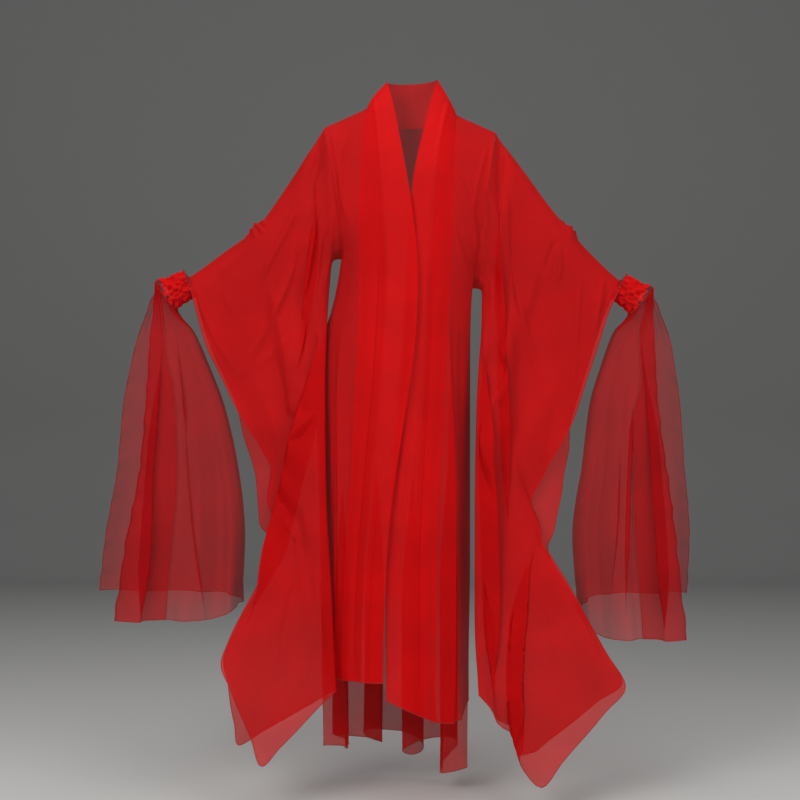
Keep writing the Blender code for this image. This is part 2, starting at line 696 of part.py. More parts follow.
def main():
    for old in list(bpy.data.objects):
        bpy.data.objects.remove(old, do_unlink=True)
    back = back_grid()
    front_right = front_grid(-1, COLLAR_RIGHT, FRONT_RIGHT_HEM, FRONT_RIGHT_FOLDS)
    front_left = front_grid(1, COLLAR_LEFT, FRONT_LEFT_HEM, FRONT_LEFT_FOLDS)
    collar_right = collar_grid(-1, COLLAR_RIGHT, back[0], [row[0] for row in front_right])
    collar_left = collar_grid(1, COLLAR_LEFT, back[0], [row[0] for row in front_left])
    steps = sum(STATION_STEPS)
    hole_right = armhole_ring(front_right, back, 0, steps)
    hole_left = armhole_ring(front_left, back, -1, steps)
    sleeve_right = sleeve_grid(RIGHT_X, RIGHT_DOWN, hole_right, BACK_LAYER_RIGHT)
    sleeve_left = sleeve_grid(LEFT_X, LEFT_DOWN, hole_left, BACK_LAYER_LEFT)
    pieces = [
        cloth("back", back, CLOTH, -1, RED, panel=True),
        cloth("front_right", front_right, CLOTH, -1, RED, panel=True),
        cloth("front_left", front_left, CLOTH, 1, RED, panel=True),
        cloth("collar_right", collar_right, BAND, 1, BAND_RED),
        cloth("collar_left", collar_left, BAND, -1, BAND_RED),
        cloth("sleeve_right", sleeve_right, CLOTH, 1, RED, ring=True),
        cloth("sleeve_left", sleeve_left, CLOTH, -1, RED, ring=True),
        cloth("wrist_ruffle_right", ruffle_grid(WRIST_RIGHT), CLOTH, -1, BAND_RED, ring=True),
        cloth("wrist_ruffle_left", ruffle_grid(WRIST_LEFT), CLOTH, 1, BAND_RED, ring=True),
        cloth("water_sleeve_right", water_grid(WRIST_RIGHT, WATER_RIGHT), CLOTH, -1, SHEER_RED),
        cloth("water_sleeve_left", water_grid(WRIST_LEFT, WATER_LEFT), CLOTH, 1, SHEER_RED),
    ]
    join_seams(pieces)
    for piece in pieces:
        if piece["name"].startswith("sleeve"):
            follow_armhole(piece)
        build(piece)


main()
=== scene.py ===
"""Sheer red robe with a long collar band, wide sleeves and hanging cuff pieces.

Every piece is a thin sheet on the form of its solid, with its folds, gathers, rolled hems and
stitches. Sizes in the tables are in millimetres: x to the wearer's left, y to the back, and "down"
is the distance below the origin between the shoulders.
"""
import math

import bpy
import numpy as np
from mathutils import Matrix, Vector


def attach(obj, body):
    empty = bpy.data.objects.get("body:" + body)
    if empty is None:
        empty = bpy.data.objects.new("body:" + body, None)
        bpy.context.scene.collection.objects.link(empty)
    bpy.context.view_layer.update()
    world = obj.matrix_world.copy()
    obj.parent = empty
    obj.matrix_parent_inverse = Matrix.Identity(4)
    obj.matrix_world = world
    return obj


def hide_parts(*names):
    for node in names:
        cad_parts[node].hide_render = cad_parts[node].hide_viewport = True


bl_info = {
    "name": "Sheer wide-sleeve robe",
    "version": (1, 0, 0),
    "blender": (4, 5, 0),
    "location": "View3D > Sidebar > Robe",
    "description": "Dresses the robe with sheets, folds, gathers, hems and stitches",
    "category": "Add Mesh",
}

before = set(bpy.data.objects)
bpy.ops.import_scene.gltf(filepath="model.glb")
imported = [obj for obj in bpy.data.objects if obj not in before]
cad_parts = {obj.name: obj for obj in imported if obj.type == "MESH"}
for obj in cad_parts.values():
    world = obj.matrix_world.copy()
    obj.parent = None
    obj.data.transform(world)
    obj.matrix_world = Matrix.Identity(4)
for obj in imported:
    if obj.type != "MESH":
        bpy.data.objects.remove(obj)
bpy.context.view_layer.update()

MM = 0.001


def table(columns, rows):
    """Rows of numbers with named columns."""
    names = columns.split()
    return [dict(zip(names, row)) for row in rows]


# Body, from the armpits down
BODY = table("down x_right x_left y_front y_back", [
    (331, -144, 143, -103, 106),
    (378, -147, 143, -106, 103),
    (423, -161, 140, -110, 101),
    (460, -176, 139, -114, 101),
    (560, -203, 139, -119, 106),
    (690, -205, 139, -125, 115),
    (840, -200, 139, -129, 121),
    (1015, -196, 139, -132, 125),
    (1210, -194, 136, -136, 128),
    (1400, -190, 133, -138, 131),
])
# The body's section is a rounded one: 2 would be an ellipse
ROUND = 2.4
BODY_SHARE = 0.45
# The way out turns from back or front to the side only near the side
SQUARENESS = 4

# Shoulder seam (0) to armpit (1); edge is the half depth of the armhole
YOKE = table("part edge share", [
    (0.00, 0, 1.00),
    (0.04, 22, 1.00),
    (0.12, 41, 1.00),
    (0.23, 58, 1.00),
    (0.37, 69, 1.00),
    (0.53, 72, 0.95),
    (0.69, 64, 0.80),
    (0.83, 47, 0.66),
    (0.93, 29, 0.55),
    (1.00, 0, BODY_SHARE),
])
TIP_RIGHT, TIP_LEFT = (-187, 36), (196, 47)
ARMPIT_RIGHT, ARMPIT_LEFT = (-144, 331), (143, 396)
NECK_RIGHT, NECK_LEFT = -92, 110
SHOULDER_SLOPE = 0.45
NECK_BACK_DOWN = 26
NECK_CURVE = 2.2
# The body reaches its full depth this far below the shoulder line
SHOULDER_CURVE = 300
YOKE_FRONT, YOKE_BACK = -103, 106

# Collar band: outer edge on the front panel, inner edge free
COLLAR_RIGHT = table("down outer_x inner_x inner_y inner_down", [
    (-7, -92, -46, 0, -66),
    (31, -99, -30, -50, 2),
    (120, -104, -17, -86, 82),
    (211, -107, 1, -104, 172),
    (333, -108, 20, -119, 335),
    (430, -107, 22, -124, 432),
    (690, -118, -8, -136, 692),
    (840, -126, -34, -139, 842),
    (1100, -143, -52, -143, 1100),
    (1257, -145, -54, -146, 1257),
])
COLLAR_LEFT = table("down outer_x inner_x inner_y inner_down", [
    (-2, 110, 67, 0, -76),
    (40, 106, 47, -50, -5),
    (120, 102, 29, -84, 80),
    (211, 99, 4, -97, 172),
    (333, 94, -2, -104, 335),
    (430, 88, -6, -109, 430),
    (690, 74, -22, -121, 690),
    (840, 65, -40, -125, 842),
    (1100, 58, -50, -130, 1095),
    (1347, 60, -47, -134, 1297),
])
COLLAR_TOP_X, COLLAR_TOP_HALF, COLLAR_TOP_DEPTH = 10.5, 56.5, 46
COLLAR_TOP_DOWN = -72
COLLAR_ROLL = 7
# Between these depths below the origin the band turns from the neck to the front
BAND_TURN_FROM, BAND_TURN_TO = -10, 110

# Hems: share runs across the panel, from right to left or from the band to the side
BACK_HEM = table("share down", [
    (-1.0, 1425), (-0.68, 1442), (-0.44, 1422), (-0.24, 1447), (-0.03, 1422),
    (0.15, 1475), (0.37, 1432), (0.63, 1482), (0.86, 1494), (1.0, 1472),
])
FRONT_RIGHT_HEM = table("share down", [(0.0, 1257), (0.5, 1253), (1.0, 1260)])
FRONT_LEFT_HEM = table("share down", [(0.0, 1347), (0.5, 1350), (1.0, 1310)])

# Long folds of the body: place is the share across the panel, push is outward at the hem
BACK_FOLDS = table("place half push start", [
    (-0.84, 0.13, -26, 520),
    (-0.60, 0.13, 20, 560),
    (-0.35, 0.15, -26, 480),
    (-0.06, 0.15, 22, 420),
    (0.23, 0.15, -28, 500),
    (0.53, 0.15, 20, 460),
    (0.83, 0.12, -22, 560),
])
FRONT_RIGHT_FOLDS = table("place half push start", [
    (0.30, 0.26, 11, 430),
    (0.80, 0.20, -9, 520),
])
FRONT_LEFT_FOLDS = table("place half push start", [
    (0.28, 0.26, 9, 430),
    (0.72, 0.24, -9, 620),
])

# Sleeve stations: down a section from the top of the arm to the seam beside the body
STATIONS = "share top under upper middle low flare corner seam"
RIGHT_X = table(STATIONS, [
    (0.00, -187, -178, -169, -162, -155, -151, -146, -144),
    (0.06, -202, -194, -187, -182, -180, -178, -173, -168),
    (0.15, -227, -218, -211, -206, -202, -195, -185, -176),
    (0.32, -277, -265, -251, -239, -229, -219, -205, -182),
    (0.55, -342, -319, -300, -277, -262, -238, -214, -179),
    (0.78, -418, -387, -341, -281, -256, -245, -222, -167),
    (1.00, -490, -454, -390, -303, -321, -404, -315, -156),
])
RIGHT_DOWN = table(STATIONS, [
    (0.00, 36, 104, 164, 209, 248, 279, 306, 331),
    (0.06, 61, 148, 207, 248, 279, 304, 325, 336),
    (0.15, 99, 167, 226, 276, 321, 357, 384, 405),
    (0.32, 176, 257, 329, 402, 474, 542, 604, 595),
    (0.55, 263, 351, 442, 548, 652, 769, 866, 839),
    (0.78, 320, 428, 536, 670, 820, 997, 1135, 1059),
    (1.00, 374, 513, 652, 799, 977, 1216, 1432, 1274),
])
LEFT_X = table(STATIONS, [
    (0.00, 196, 184, 176, 166, 160, 155, 151, 143),
    (0.06, 209, 198, 189, 182, 178, 175, 171, 164),
    (0.15, 225, 216, 207, 200, 195, 188, 179, 165),
    (0.32, 266, 252, 233, 219, 205, 192, 176, 151),
    (0.55, 320, 301, 273, 227, 203, 188, 172, 145),
    (0.78, 396, 373, 331, 231, 209, 198, 181, 144),
    (1.00, 477, 438, 370, 271, 311, 468, 286, 153),
])
LEFT_DOWN = table(STATIONS, [
    (0.00, 47, 119, 187, 238, 288, 328, 364, 396),
    (0.06, 68, 166, 243, 288, 327, 356, 381, 401),
    (0.15, 88, 167, 235, 289, 339, 386, 427, 452),
    (0.32, 142, 232, 316, 398, 474, 555, 622, 635),
    (0.55, 216, 311, 424, 536, 648, 769, 877, 855),
    (0.78, 304, 405, 536, 704, 847, 1041, 1168, 1124),
    (1.00, 385, 479, 688, 875, 984, 1266, 1477, 1285),
])
SLEEVE_Y = table(STATIONS, [
    (0.00, 0, 0, 0, 0, 0, 0, 0, 0),
    (0.06, 0, 0, -1, -2, -3, -4, -5, -6),
    (0.15, 0, -2, -5, -9, -14, -19, -24, -28),
    (0.32, 0, -3, -10, -20, -34, -52, -70, -84),
    (0.55, 0, -3, -12, -28, -50, -76, -100, -108),
    (0.78, 0, -3, -14, -34, -62, -96, -120, -120),
    (1.00, 0, -3, -14, -36, -76, -116, -138, -130),
])
SLEEVE_HALF_GAP = table(STATIONS, [
    (0.00, 20, 62, 70, 70, 64, 52, 34, 10),
    (0.06, 30, 56, 60, 58, 50, 40, 27, 9),
    (0.15, 36, 50, 46, 40, 32, 24, 16, 8),
    (0.32, 36, 46, 34, 26, 22, 19, 15, 8),
    (0.55, 36, 44, 28, 22, 20, 20, 16, 8),
    (0.78, 34, 40, 24, 20, 20, 22, 18, 8),
    (1.00, 30, 34, 22, 18, 20, 24, 20, 9),
])
STATION_STEPS = (4, 4, 4, 3, 4, 4, 4)
SLEEVE_ROWS = 15
# The two layers close on each other over this many steps at the top and at the seam
CLOSING_STEPS = 3
# Up to this share of the way to the cuff, the section still takes the shape of the armhole
ARMHOLE_REACH = 0.22
# Folds of a sleeve: they fan out from the top of the arm; place is along the sleeve
SLEEVE_FOLDS = table("place lean half push from_step to_step", [
    (0.17, 0.05, 0.09, -9, 4, 20),
    (0.36, 0.04, 0.09, 9, 5, 24),
    (0.52, 0.10, 0.08, -10, 4, 26),
    (0.70, 0.06, 0.09, 10, 7, 26),
    (0.88, -0.04, 0.09, -9, 7, 26),
])
FOLD_START, FOLD_IN, FOLD_OUT, LEAN_MIDDLE = 0.2, 4, 3, 0.3
# At the cuff, how far stations of the back layer lie from those of the front layer
BACK_LAYER_RIGHT = {"middle": (-39, 20), "corner": (-54, -35)}
BACK_LAYER_LEFT = {"middle": (75, -25), "corner": (-27, -56)}
# From this share of the way to the cuff, the layers part and the edges grow straight below the wrist
CUFF_FROM = 0.66
WRIST_STEPS = 4

# Wrist bands; cuff_out is how far beyond the band's edge the hanging cuff piece starts
WRIST_RIGHT = {"x": -517.5, "down": 399.5, "axis": (-0.88, 0.0, -0.475), "cuff_out": 3.7}
WRIST_LEFT = {"x": 499.4, "down": 409.2, "axis": (0.82, 0.0, -0.572), "cuff_out": 3.1}
RUFFLE_PROFILE = table("along radius wave", [
    (-26, 37, 6.0), (-13, 33, 3.0), (0, 30.5, 1.2), (13, 33, 3.0), (26, 37.5, 6.5),
])
RUFFLE_WAVES = 12

# Hanging cuff pieces: back and front are the free edges, inner is the fold toward the body
WATER_RIGHT = table("row back_x inner_x front_x y_back y_front back_down inner_down front_down", [
    (0.14, -616, -480, -572, 44, -48, 505, 500, 505),
    (0.34, -650, -418, -580, 56, -58, 650, 650, 650),
    (0.56, -666, -382, -594, 60, -64, 810, 808, 812),
    (0.78, -692, -368, -622, 64, -68, 950, 950, 960),
    (1.00, -708, -374, -646, 66, -70, 1085, 1098, 1134),
])
WATER_LEFT = table("row back_x inner_x front_x y_back y_front back_down inner_down front_down", [
    (0.14, 596, 462, 546, 44, -48, 505, 500, 505),
    (0.34, 622, 412, 552, 56, -58, 650, 650, 650),
    (0.56, 634, 392, 572, 60, -64, 810, 806, 810),
    (0.78, 646, 372, 590, 64, -68, 950, 950, 955),
    (1.00, 640, 384, 612, 66, -70, 1090, 1125, 1176),
])
WATER_RING_RADIUS = 41
WATER_RING_FROM, WATER_RING_TO = 12, 348
WATER_BACK_COLUMNS, WATER_FRONT_COLUMNS = 15, 14
WATER_ROWS = (0.0, 0.05, 0.14, 0.24, 0.34, 0.45, 0.56, 0.67, 0.78, 0.89, 1.0)
WATER_WAVES_BACK, WATER_WAVES_FRONT, WATER_WAVE_HEIGHT, WATER_WAVE_RISE = 3.5, 3.0, 15, 4
# The hem goes from the inner fold's depth to the free edge's over one part in this many of the way
WATER_HEM_TURN = 2

YOKE_STEPS = 9
SKIRT_STEPS = 12
# Rows below the armpits over which the columns draw closer at the sides
SPREAD_ROWS = 3
# How soon the columns move from the neckline to even places across the back
YOKE_SPREAD = 0.7
FRONT_COLUMNS = 11
# Rounds that bring a front's inner edge to the collar at its own depth
EDGE_ROUNDS = 6
BACK_SHARES = (0, 0.08, 0.16, 0.24, 0.32, 0.40, 0.46, 0.50, 0.58, 0.66, 0.74, 0.82, 0.89, 0.95, 1.0)
NECK_SHARE = 0.50
BAND_COLUMNS = 4


def read(rows, by, at, column):
    """Smooth value of a column at a place, never outside its neighbours."""
    xs = [row[by] for row in rows]
    ys = [row[column] for row in rows]
    if at <= xs[0]:
        return ys[0]
    if at >= xs[-1]:
        return ys[-1]
    i = max(k for k in range(len(xs) - 1) if xs[k] <= at)

    def slope(k):
        ends = [(ys[m + 1] - ys[m]) / (xs[m + 1] - xs[m]) for m in (k - 1, k) if 0 <= m < len(xs) - 1]
        if len(ends) == 1:
            return ends[0]
        return 0.0 if ends[0] * ends[1] <= 0 else 2 * ends[0] * ends[1] / (ends[0] + ends[1])

    h = xs[i + 1] - xs[i]
    t = (at - xs[i]) / h
    return ((1 + 2 * t) * (1 - t) ** 2 * ys[i] + t * (1 - t) ** 2 * h * slope(i)
            + t * t * (3 - 2 * t) * ys[i + 1] - t * t * (1 - t) * h * slope(i + 1))


def mix(a, b, t):
    """From a to b by the share t."""
    return a + (b - a) * t


def smooth(t):
    """A gentle step from 0 to 1."""
    t = min(max(t, 0.0), 1.0)
    return t * t * (3 - 2 * t)


def bump(distance, half):
    """A soft ridge one high and two halves wide."""
    return 0.0 if abs(distance) >= half else math.cos(math.pi * distance / half / 2) ** 2


# Body surface
def ridge(x):
    """How far down the line of the shoulders lies."""
    centre = (NECK_RIGHT + NECK_LEFT) / 2
    side, tip = (-1, TIP_RIGHT) if x < centre else (1, TIP_LEFT)
    return tip[1] - SHOULDER_SLOPE * (side * (tip[0] - x))


def neckline(x):
    """The top edge of the back: the shoulder line, cut down in a curve between the neck points."""
    centre, half = (NECK_RIGHT + NECK_LEFT) / 2, (NECK_LEFT - NECK_RIGHT) / 2
    away = abs(x - centre) / half
    if away >= 1:
        return ridge(x)
    return mix(NECK_BACK_DOWN, ridge(NECK_RIGHT if x < centre else NECK_LEFT), away ** NECK_CURVE)


def armpit_line(x):
    """How far down the line through the armpits lies."""
    return mix(ARMPIT_RIGHT[1], ARMPIT_LEFT[1],
               (x - ARMPIT_RIGHT[0]) / (ARMPIT_LEFT[0] - ARMPIT_RIGHT[0]))


def yoke_sides(part):
    """Right and left armhole x at a share of the way from shoulder to armpit."""
    return (mix(TIP_RIGHT[0], ARMPIT_RIGHT[0], part), mix(TIP_LEFT[0], ARMPIT_LEFT[0], part))


def yoke_depth(x, down, part, front):
    """Depth of the body between the shoulders and the armpits."""
    right, left = yoke_sides(part)
    away = min(1.0, abs(2 * x - right - left) / (left - right))
    below = min(max(down - ridge(x), 0.0), SHOULDER_CURVE) / SHOULDER_CURVE
    full = abs(YOKE_FRONT if front else YOKE_BACK) * math.sqrt(1 - (1 - below) ** 2)
    if part <= 0:
        edge, share = full, 1.0
    else:
        edge = min(read(YOKE, "part", part, "edge"), full)
        share = read(YOKE, "part", part, "share")
    depth = edge + (full - edge) * max(0.0, 1 - away ** ROUND) ** share
    return -depth if front else depth


def skirt_depth(x, down, front):
    """Depth of the body below the armpits."""
    right, left = (read(BODY, "down", down, c) for c in ("x_right", "x_left"))
    away = min(1.0, abs(2 * x - right - left) / (left - right))
    deep = read(BODY, "down", down, "y_front" if front else "y_back")
    return deep * max(0.0, 1 - away ** ROUND) ** BODY_SHARE


def outward(away, side, layer):
    """Direction out of the body; away is 0 at the middle of the panel and 1 at its side."""
    return Vector((side * away ** SQUARENESS,
                   layer * math.sqrt(1 - min(away, 1.0) ** SQUARENESS), 0)).normalized()


def folded(point, out, folds, place, down, hem):
    """A body point pushed out or in by the long folds."""
    push = sum(f["push"] * bump(place - f["place"], f["half"])
               * smooth((down - f["start"]) / (hem - f["start"])) for f in folds if down > f["start"])
    return point + out * push


def back_grid():
    """Rows from the top edge to the hem, columns from the wearer's right to left."""
    shares = [-s for s in reversed(BACK_SHARES[1:])] + list(BACK_SHARES)
    grid = []
    for i in range(YOKE_STEPS + 1):
        part = YOKE[i]["part"]
        right, left = yoke_sides(part)
        row = []
        for g in shares:
            even = mix(right, left, (g + 1) / 2)
            if abs(g) <= NECK_SHARE:
                top = mix(NECK_RIGHT, NECK_LEFT, (g / NECK_SHARE + 1) / 2)
            else:
                neck, tip = (NECK_RIGHT, TIP_RIGHT) if g < 0 else (NECK_LEFT, TIP_LEFT)
                top = mix(neck, tip[0], (abs(g) - NECK_SHARE) / (1 - NECK_SHARE))
            x = mix(top, even, part ** YOKE_SPREAD)
            down = mix(neckline(x), armpit_line(x), part)
            row.append(Vector((x, yoke_depth(x, down, part, False), -down)))
        grid.append(row)
    for i in range(1, SKIRT_STEPS + 1):
        row = []
        for g in shares:
            hem = read(BACK_HEM, "share", g, "down")
            start = mix(ARMPIT_RIGHT[1], ARMPIT_LEFT[1], (g + 1) / 2)
            down = mix(start, hem, i / SKIRT_STEPS)
            right, left = (read(BODY, "down", down, c) for c in ("x_right", "x_left"))
            round_share = mix(g, math.sin(g * math.pi / 2), smooth(i / SPREAD_ROWS))
            x = mix(right, left, (round_share + 1) / 2)
            point = Vector((x, skirt_depth(x, down, False), -down))
            out = outward(abs(g), math.copysign(1, g), 1)
            row.append(folded(point, out, BACK_FOLDS, g, down, hem))
        grid.append(row)
    return grid


def front_grid(side, collar, hems, folds):
    """Rows from the shoulder to the hem, columns from the band to the side."""
    right_side = side < 0
    tip = TIP_RIGHT if right_side else TIP_LEFT
    armpit = ARMPIT_RIGHT if right_side else ARMPIT_LEFT
    grid = []
    for i in range(YOKE_STEPS + 1):
        part = YOKE[i]["part"]
        edge_x = mix(tip[0], armpit[0], part)
        inner_x = collar[0]["outer_x"]
        for _ in range(EDGE_ROUNDS):
            down = mix(ridge(inner_x), armpit_line(inner_x), part)
            inner_x = read(collar, "down", down, "outer_x")
        row = []
        for j in range(FRONT_COLUMNS + 1):
            even = j / FRONT_COLUMNS
            x = mix(inner_x, edge_x, mix(even, math.sin(even * math.pi / 2), part))
            down = mix(ridge(x), armpit_line(x), part)
            row.append(Vector((x, yoke_depth(x, down, part, True), -down)))
        grid.append(row)
    for i in range(1, SKIRT_STEPS + 1):
        row = []
        for j in range(FRONT_COLUMNS + 1):
            c = j / FRONT_COLUMNS
            hem = read(hems, "share", c, "down")
            down = mix(mix(armpit_line(grid[YOKE_STEPS][0].x), armpit[1], c), hem, i / SKIRT_STEPS)
            inner_x = read(collar, "down", down, "outer_x")
            edge_x = read(BODY, "down", down, "x_right" if right_side else "x_left")
            x = mix(inner_x, edge_x, math.sin(c * math.pi / 2))
            point = Vector((x, skirt_depth(x, down, True), -down))
            row.append(folded(point, outward(c, side, -1), folds, c, down, hem) if 0 < c < 1 else point)
        grid.append(row)
    return grid


def collar_grid(side, collar, back_row, front_column):
    """Rows from the centre of the back neck round and down to the hem, columns from the seam."""
    middle = len(back_row) // 2
    neck = [back_row[middle + side * k] for k in range(BACK_SHARES.index(NECK_SHARE) + 1)]
    rows = []
    for k, outer in enumerate(neck[:-1]):
        turn = math.pi / 2 * k / (len(neck) - 1)
        inner = Vector((COLLAR_TOP_X + side * COLLAR_TOP_HALF * math.sin(turn),
                        COLLAR_TOP_DEPTH * math.cos(turn),
                        -mix(COLLAR_TOP_DOWN, collar[0]["inner_down"], turn * 2 / math.pi)))
        rows.append((outer, inner, 0.0))
    for outer in front_column:
        down = -outer.z
        inner = Vector((read(collar, "down", down, "inner_x"), read(collar, "down", down, "inner_y"),
                        -read(collar, "down", down, "inner_down")))
        rows.append((outer, inner, smooth((down - BAND_TURN_FROM) / (BAND_TURN_TO - BAND_TURN_FROM))))
    grid = []
    for outer, inner, on_front in rows:
        row = []
        for j in range(BAND_COLUMNS + 1):
            w = j / BAND_COLUMNS
            point = outer.lerp(inner, w)
            away = Vector((point.x - COLLAR_TOP_X, point.y, 0)).normalized()
            away = away.lerp(Vector((0, -1, 0)), on_front)
            row.append(point + away * COLLAR_ROLL * math.sin(math.pi * w))
        grid.append(row)
    return grid


# Sleeves
def sleeve_centre(xs, downs, share, moved):
    """Centre line of one section with its half gap: one place for each step round the section."""
    cuff = smooth((share - CUFF_FROM) / (1 - CUFF_FROM))
    names = STATIONS.split()[1:]
    at = [0]
    for steps in STATION_STEPS:
        at.append(at[-1] + steps)
    stations = []
    for step, name in zip(at, names):
        aside, lower = moved.get(name, (0, 0))
        stations.append({"step": step,
                         "x": read(xs, "share", share, name) + aside * cuff,
                         "y": read(SLEEVE_Y, "share", share, name),
                         "z": -read(downs, "share", share, name) - lower * cuff,
                         "gap": read(SLEEVE_HALF_GAP, "share", share, name)})
    line = []
    for step in range(at[-1] + 1):
        straight = cuff * smooth((step - WRIST_STEPS) / WRIST_STEPS)
        x, y, z, gap = (curve(stations, step, c, straight) for c in ("x", "y", "z", "gap"))
        end = min(step, at[-1] - step)
        gap *= math.sqrt(1 - (1 - min(end / CLOSING_STEPS, 1)) ** 2)
        line.append((Vector((x, y, z)), gap))
    return line


def curve(rows, at, column, straight):
    """Smooth curve through the stations, rounded at the turns, or straight from one to the next."""
    i = max(k for k in range(len(rows) - 1) if rows[k]["step"] <= at)
    t = (at - rows[i]["step"]) / (rows[i + 1]["step"] - rows[i]["step"])
    a, b, c, d = (rows[min(max(k, 0), len(rows) - 1)][column] for k in (i - 1, i, i + 1, i + 2))
    round_value = 0.5 * (2 * b + (c - a) * t + (2 * a - 5 * b + 4 * c - d) * t * t
                         + (3 * b - a - 3 * c + d) * t ** 3)
    return mix(round_value, mix(b, c, t), straight)


def sleeve_grid(xs, downs, armhole, back_layer):
    """Rows along the sleeve from armhole to cuff, columns round it: front layer, seam, back layer."""
    steps = sum(STATION_STEPS)

    def place(share, step, layer):
        point, gap = sleeve_centre(xs, downs, share, back_layer if layer > 0 else {})[step]
        push = sum(f["push"] * bump(share + f["lean"] * (step / steps - LEAN_MIDDLE) - f["place"], f["half"])
                   * smooth((step - f["from_step"]) / FOLD_IN) * smooth((f["to_step"] - step) / FOLD_OUT)
                   for f in SLEEVE_FOLDS)
        return point + Vector((0, push * smooth(share / FOLD_START) + layer * gap, 0))

    ring = list(range(steps + 1)) + list(range(steps - 1, 0, -1))
    layers = [-1] * (steps + 1) + [1] * (steps - 1)
    start = [place(0.0, s, l) for s, l in zip(ring, layers)]
    grid = []
    for i in range(SLEEVE_ROWS + 1):
        share = i / SLEEVE_ROWS
        fade = 1 - smooth(share / ARMHOLE_REACH)
        grid.append([place(share, s, l) + (armhole[k] - start[k]) * fade
                     for k, (s, l) in enumerate(zip(ring, layers))])
    return grid


def armhole_ring(front, back, back_column, steps):
    """Points round the armhole, on the panels' edges: down the front edge and up the back edge."""
    def spread(line):
        points = []
        for k in range(steps + 1):
            at = k / steps * YOKE_STEPS
            i = min(int(at), YOKE_STEPS - 1)
            points.append(line[i].lerp(line[i + 1], at - i))
        return points

    down = spread([front[i][-1] for i in range(YOKE_STEPS + 1)])
    up = spread([back[i][back_column] for i in range(YOKE_STEPS + 1)])
    return down + up[-2:0:-1]


# Wrist pieces
def wrist_frame(wrist):
    """Centre of the wrist band, the way out along the arm, the way back and the way up."""
    axis = Vector(wrist["axis"]).normalized()
    back = Vector((0, 1, 0))
    up = back.cross(axis)
    return Vector((wrist["x"], 0, -wrist["down"])), axis, back, up if up.z > 0 else -up


def water_grid(wrist, rows):
    """Rows from the wrist to the hem, columns from the back free edge round to the front one."""
    centre, axis, back, up = wrist_frame(wrist)
    centre = centre + axis * (RUFFLE_PROFILE[-1]["along"] + wrist["cuff_out"])
    total = WATER_BACK_COLUMNS + WATER_FRONT_COLUMNS
    grid = []
    for v in WATER_ROWS:
        get = {name: read(rows, "row", v, name) for name in rows[0] if name != "row"}
        line = []
        for j in range(total + 1):
            turn = math.radians(mix(WATER_RING_FROM, WATER_RING_TO, j / total))
            ring = centre + (up * math.cos(turn) + back * math.sin(turn)) * WATER_RING_RADIUS
            if j <= WATER_BACK_COLUMNS:
                a = 1 - j / WATER_BACK_COLUMNS
                edge, deep, waves = "back", get["y_back"], WATER_WAVES_BACK
            else:
                a = (j - WATER_BACK_COLUMNS) / WATER_FRONT_COLUMNS
                edge, deep, waves = "front", get["y_front"], WATER_WAVES_FRONT
            wave = math.sin(2 * math.pi * waves * a) * (1 - (1 - a) ** WATER_WAVE_RISE)
            x = mix(get["inner_x"], get[edge + "_x"], 1 - math.cos(a * math.pi / 2))
            y = deep * math.sin(a * math.pi / 2) ** 0.5 + wave * WATER_WAVE_HEIGHT * smooth(v)
            down = mix(get["inner_down"], get[edge + "_down"], smooth(a * WATER_HEM_TURN))
            hang = Vector((x, y, -down))
            line.append(ring.lerp(hang, min(v / rows[0]["row"], 1.0)))
        grid.append(line)
    return grid


# Fine folds. A fold runs along one way of the grid and lies at a place across it, both as shares
BACK_CREASES = table("start end place end_place bow half push", [
    (0.04, 0.40, -0.74, -0.52, 0.05, 0.050, 4.0),
    (0.05, 0.36, 0.76, 0.50, -0.05, 0.055, 3.6),
    (0.10, 0.48, -0.40, -0.30, 0.02, 0.040, -3.0),
    (0.12, 0.52, 0.36, 0.26, 0.00, 0.045, 3.2),
    (0.30, 1.10, -0.90, -0.93, 0.03, 0.035, 4.5),
    (0.34, 1.12, -0.72, -0.70, -0.02, 0.045, -5.0),
    (0.26, 0.86, -0.52, -0.47, 0.02, 0.038, 4.2),
    (0.40, 1.10, -0.22, -0.26, 0.02, 0.050, 5.2),
    (0.30, 1.05, -0.02, 0.03, -0.02, 0.036, -3.6),
    (0.36, 1.12, 0.12, 0.10, 0.02, 0.040, 4.6),
    (0.28, 0.90, 0.33, 0.38, -0.02, 0.045, -4.4),
    (0.42, 1.12, 0.45, 0.42, 0.02, 0.036, 4.0),
    (0.30, 1.12, 0.66, 0.70, 0.02, 0.046, 5.0),
    (0.34, 1.10, 0.90, 0.92, -0.02, 0.034, -4.0),
])
BAND_CREASES = table("start end place end_place bow half push", [
    (0.02, 0.34, 0.30, 0.44, 0.05, 0.10, 2.6),
    (0.10, 0.46, 0.66, 0.58, -0.06, 0.09, -2.4),
    (0.24, 0.70, 0.46, 0.52, 0.04, 0.10, 3.0),
    (0.40, 1.08, 0.74, 0.66, 0.05, 0.10, 3.4),
    (0.48, 1.10, 0.36, 0.30, -0.03, 0.11, -2.8),
    (0.66, 1.10, 0.54, 0.50, 0.02, 0.08, 2.4),
])

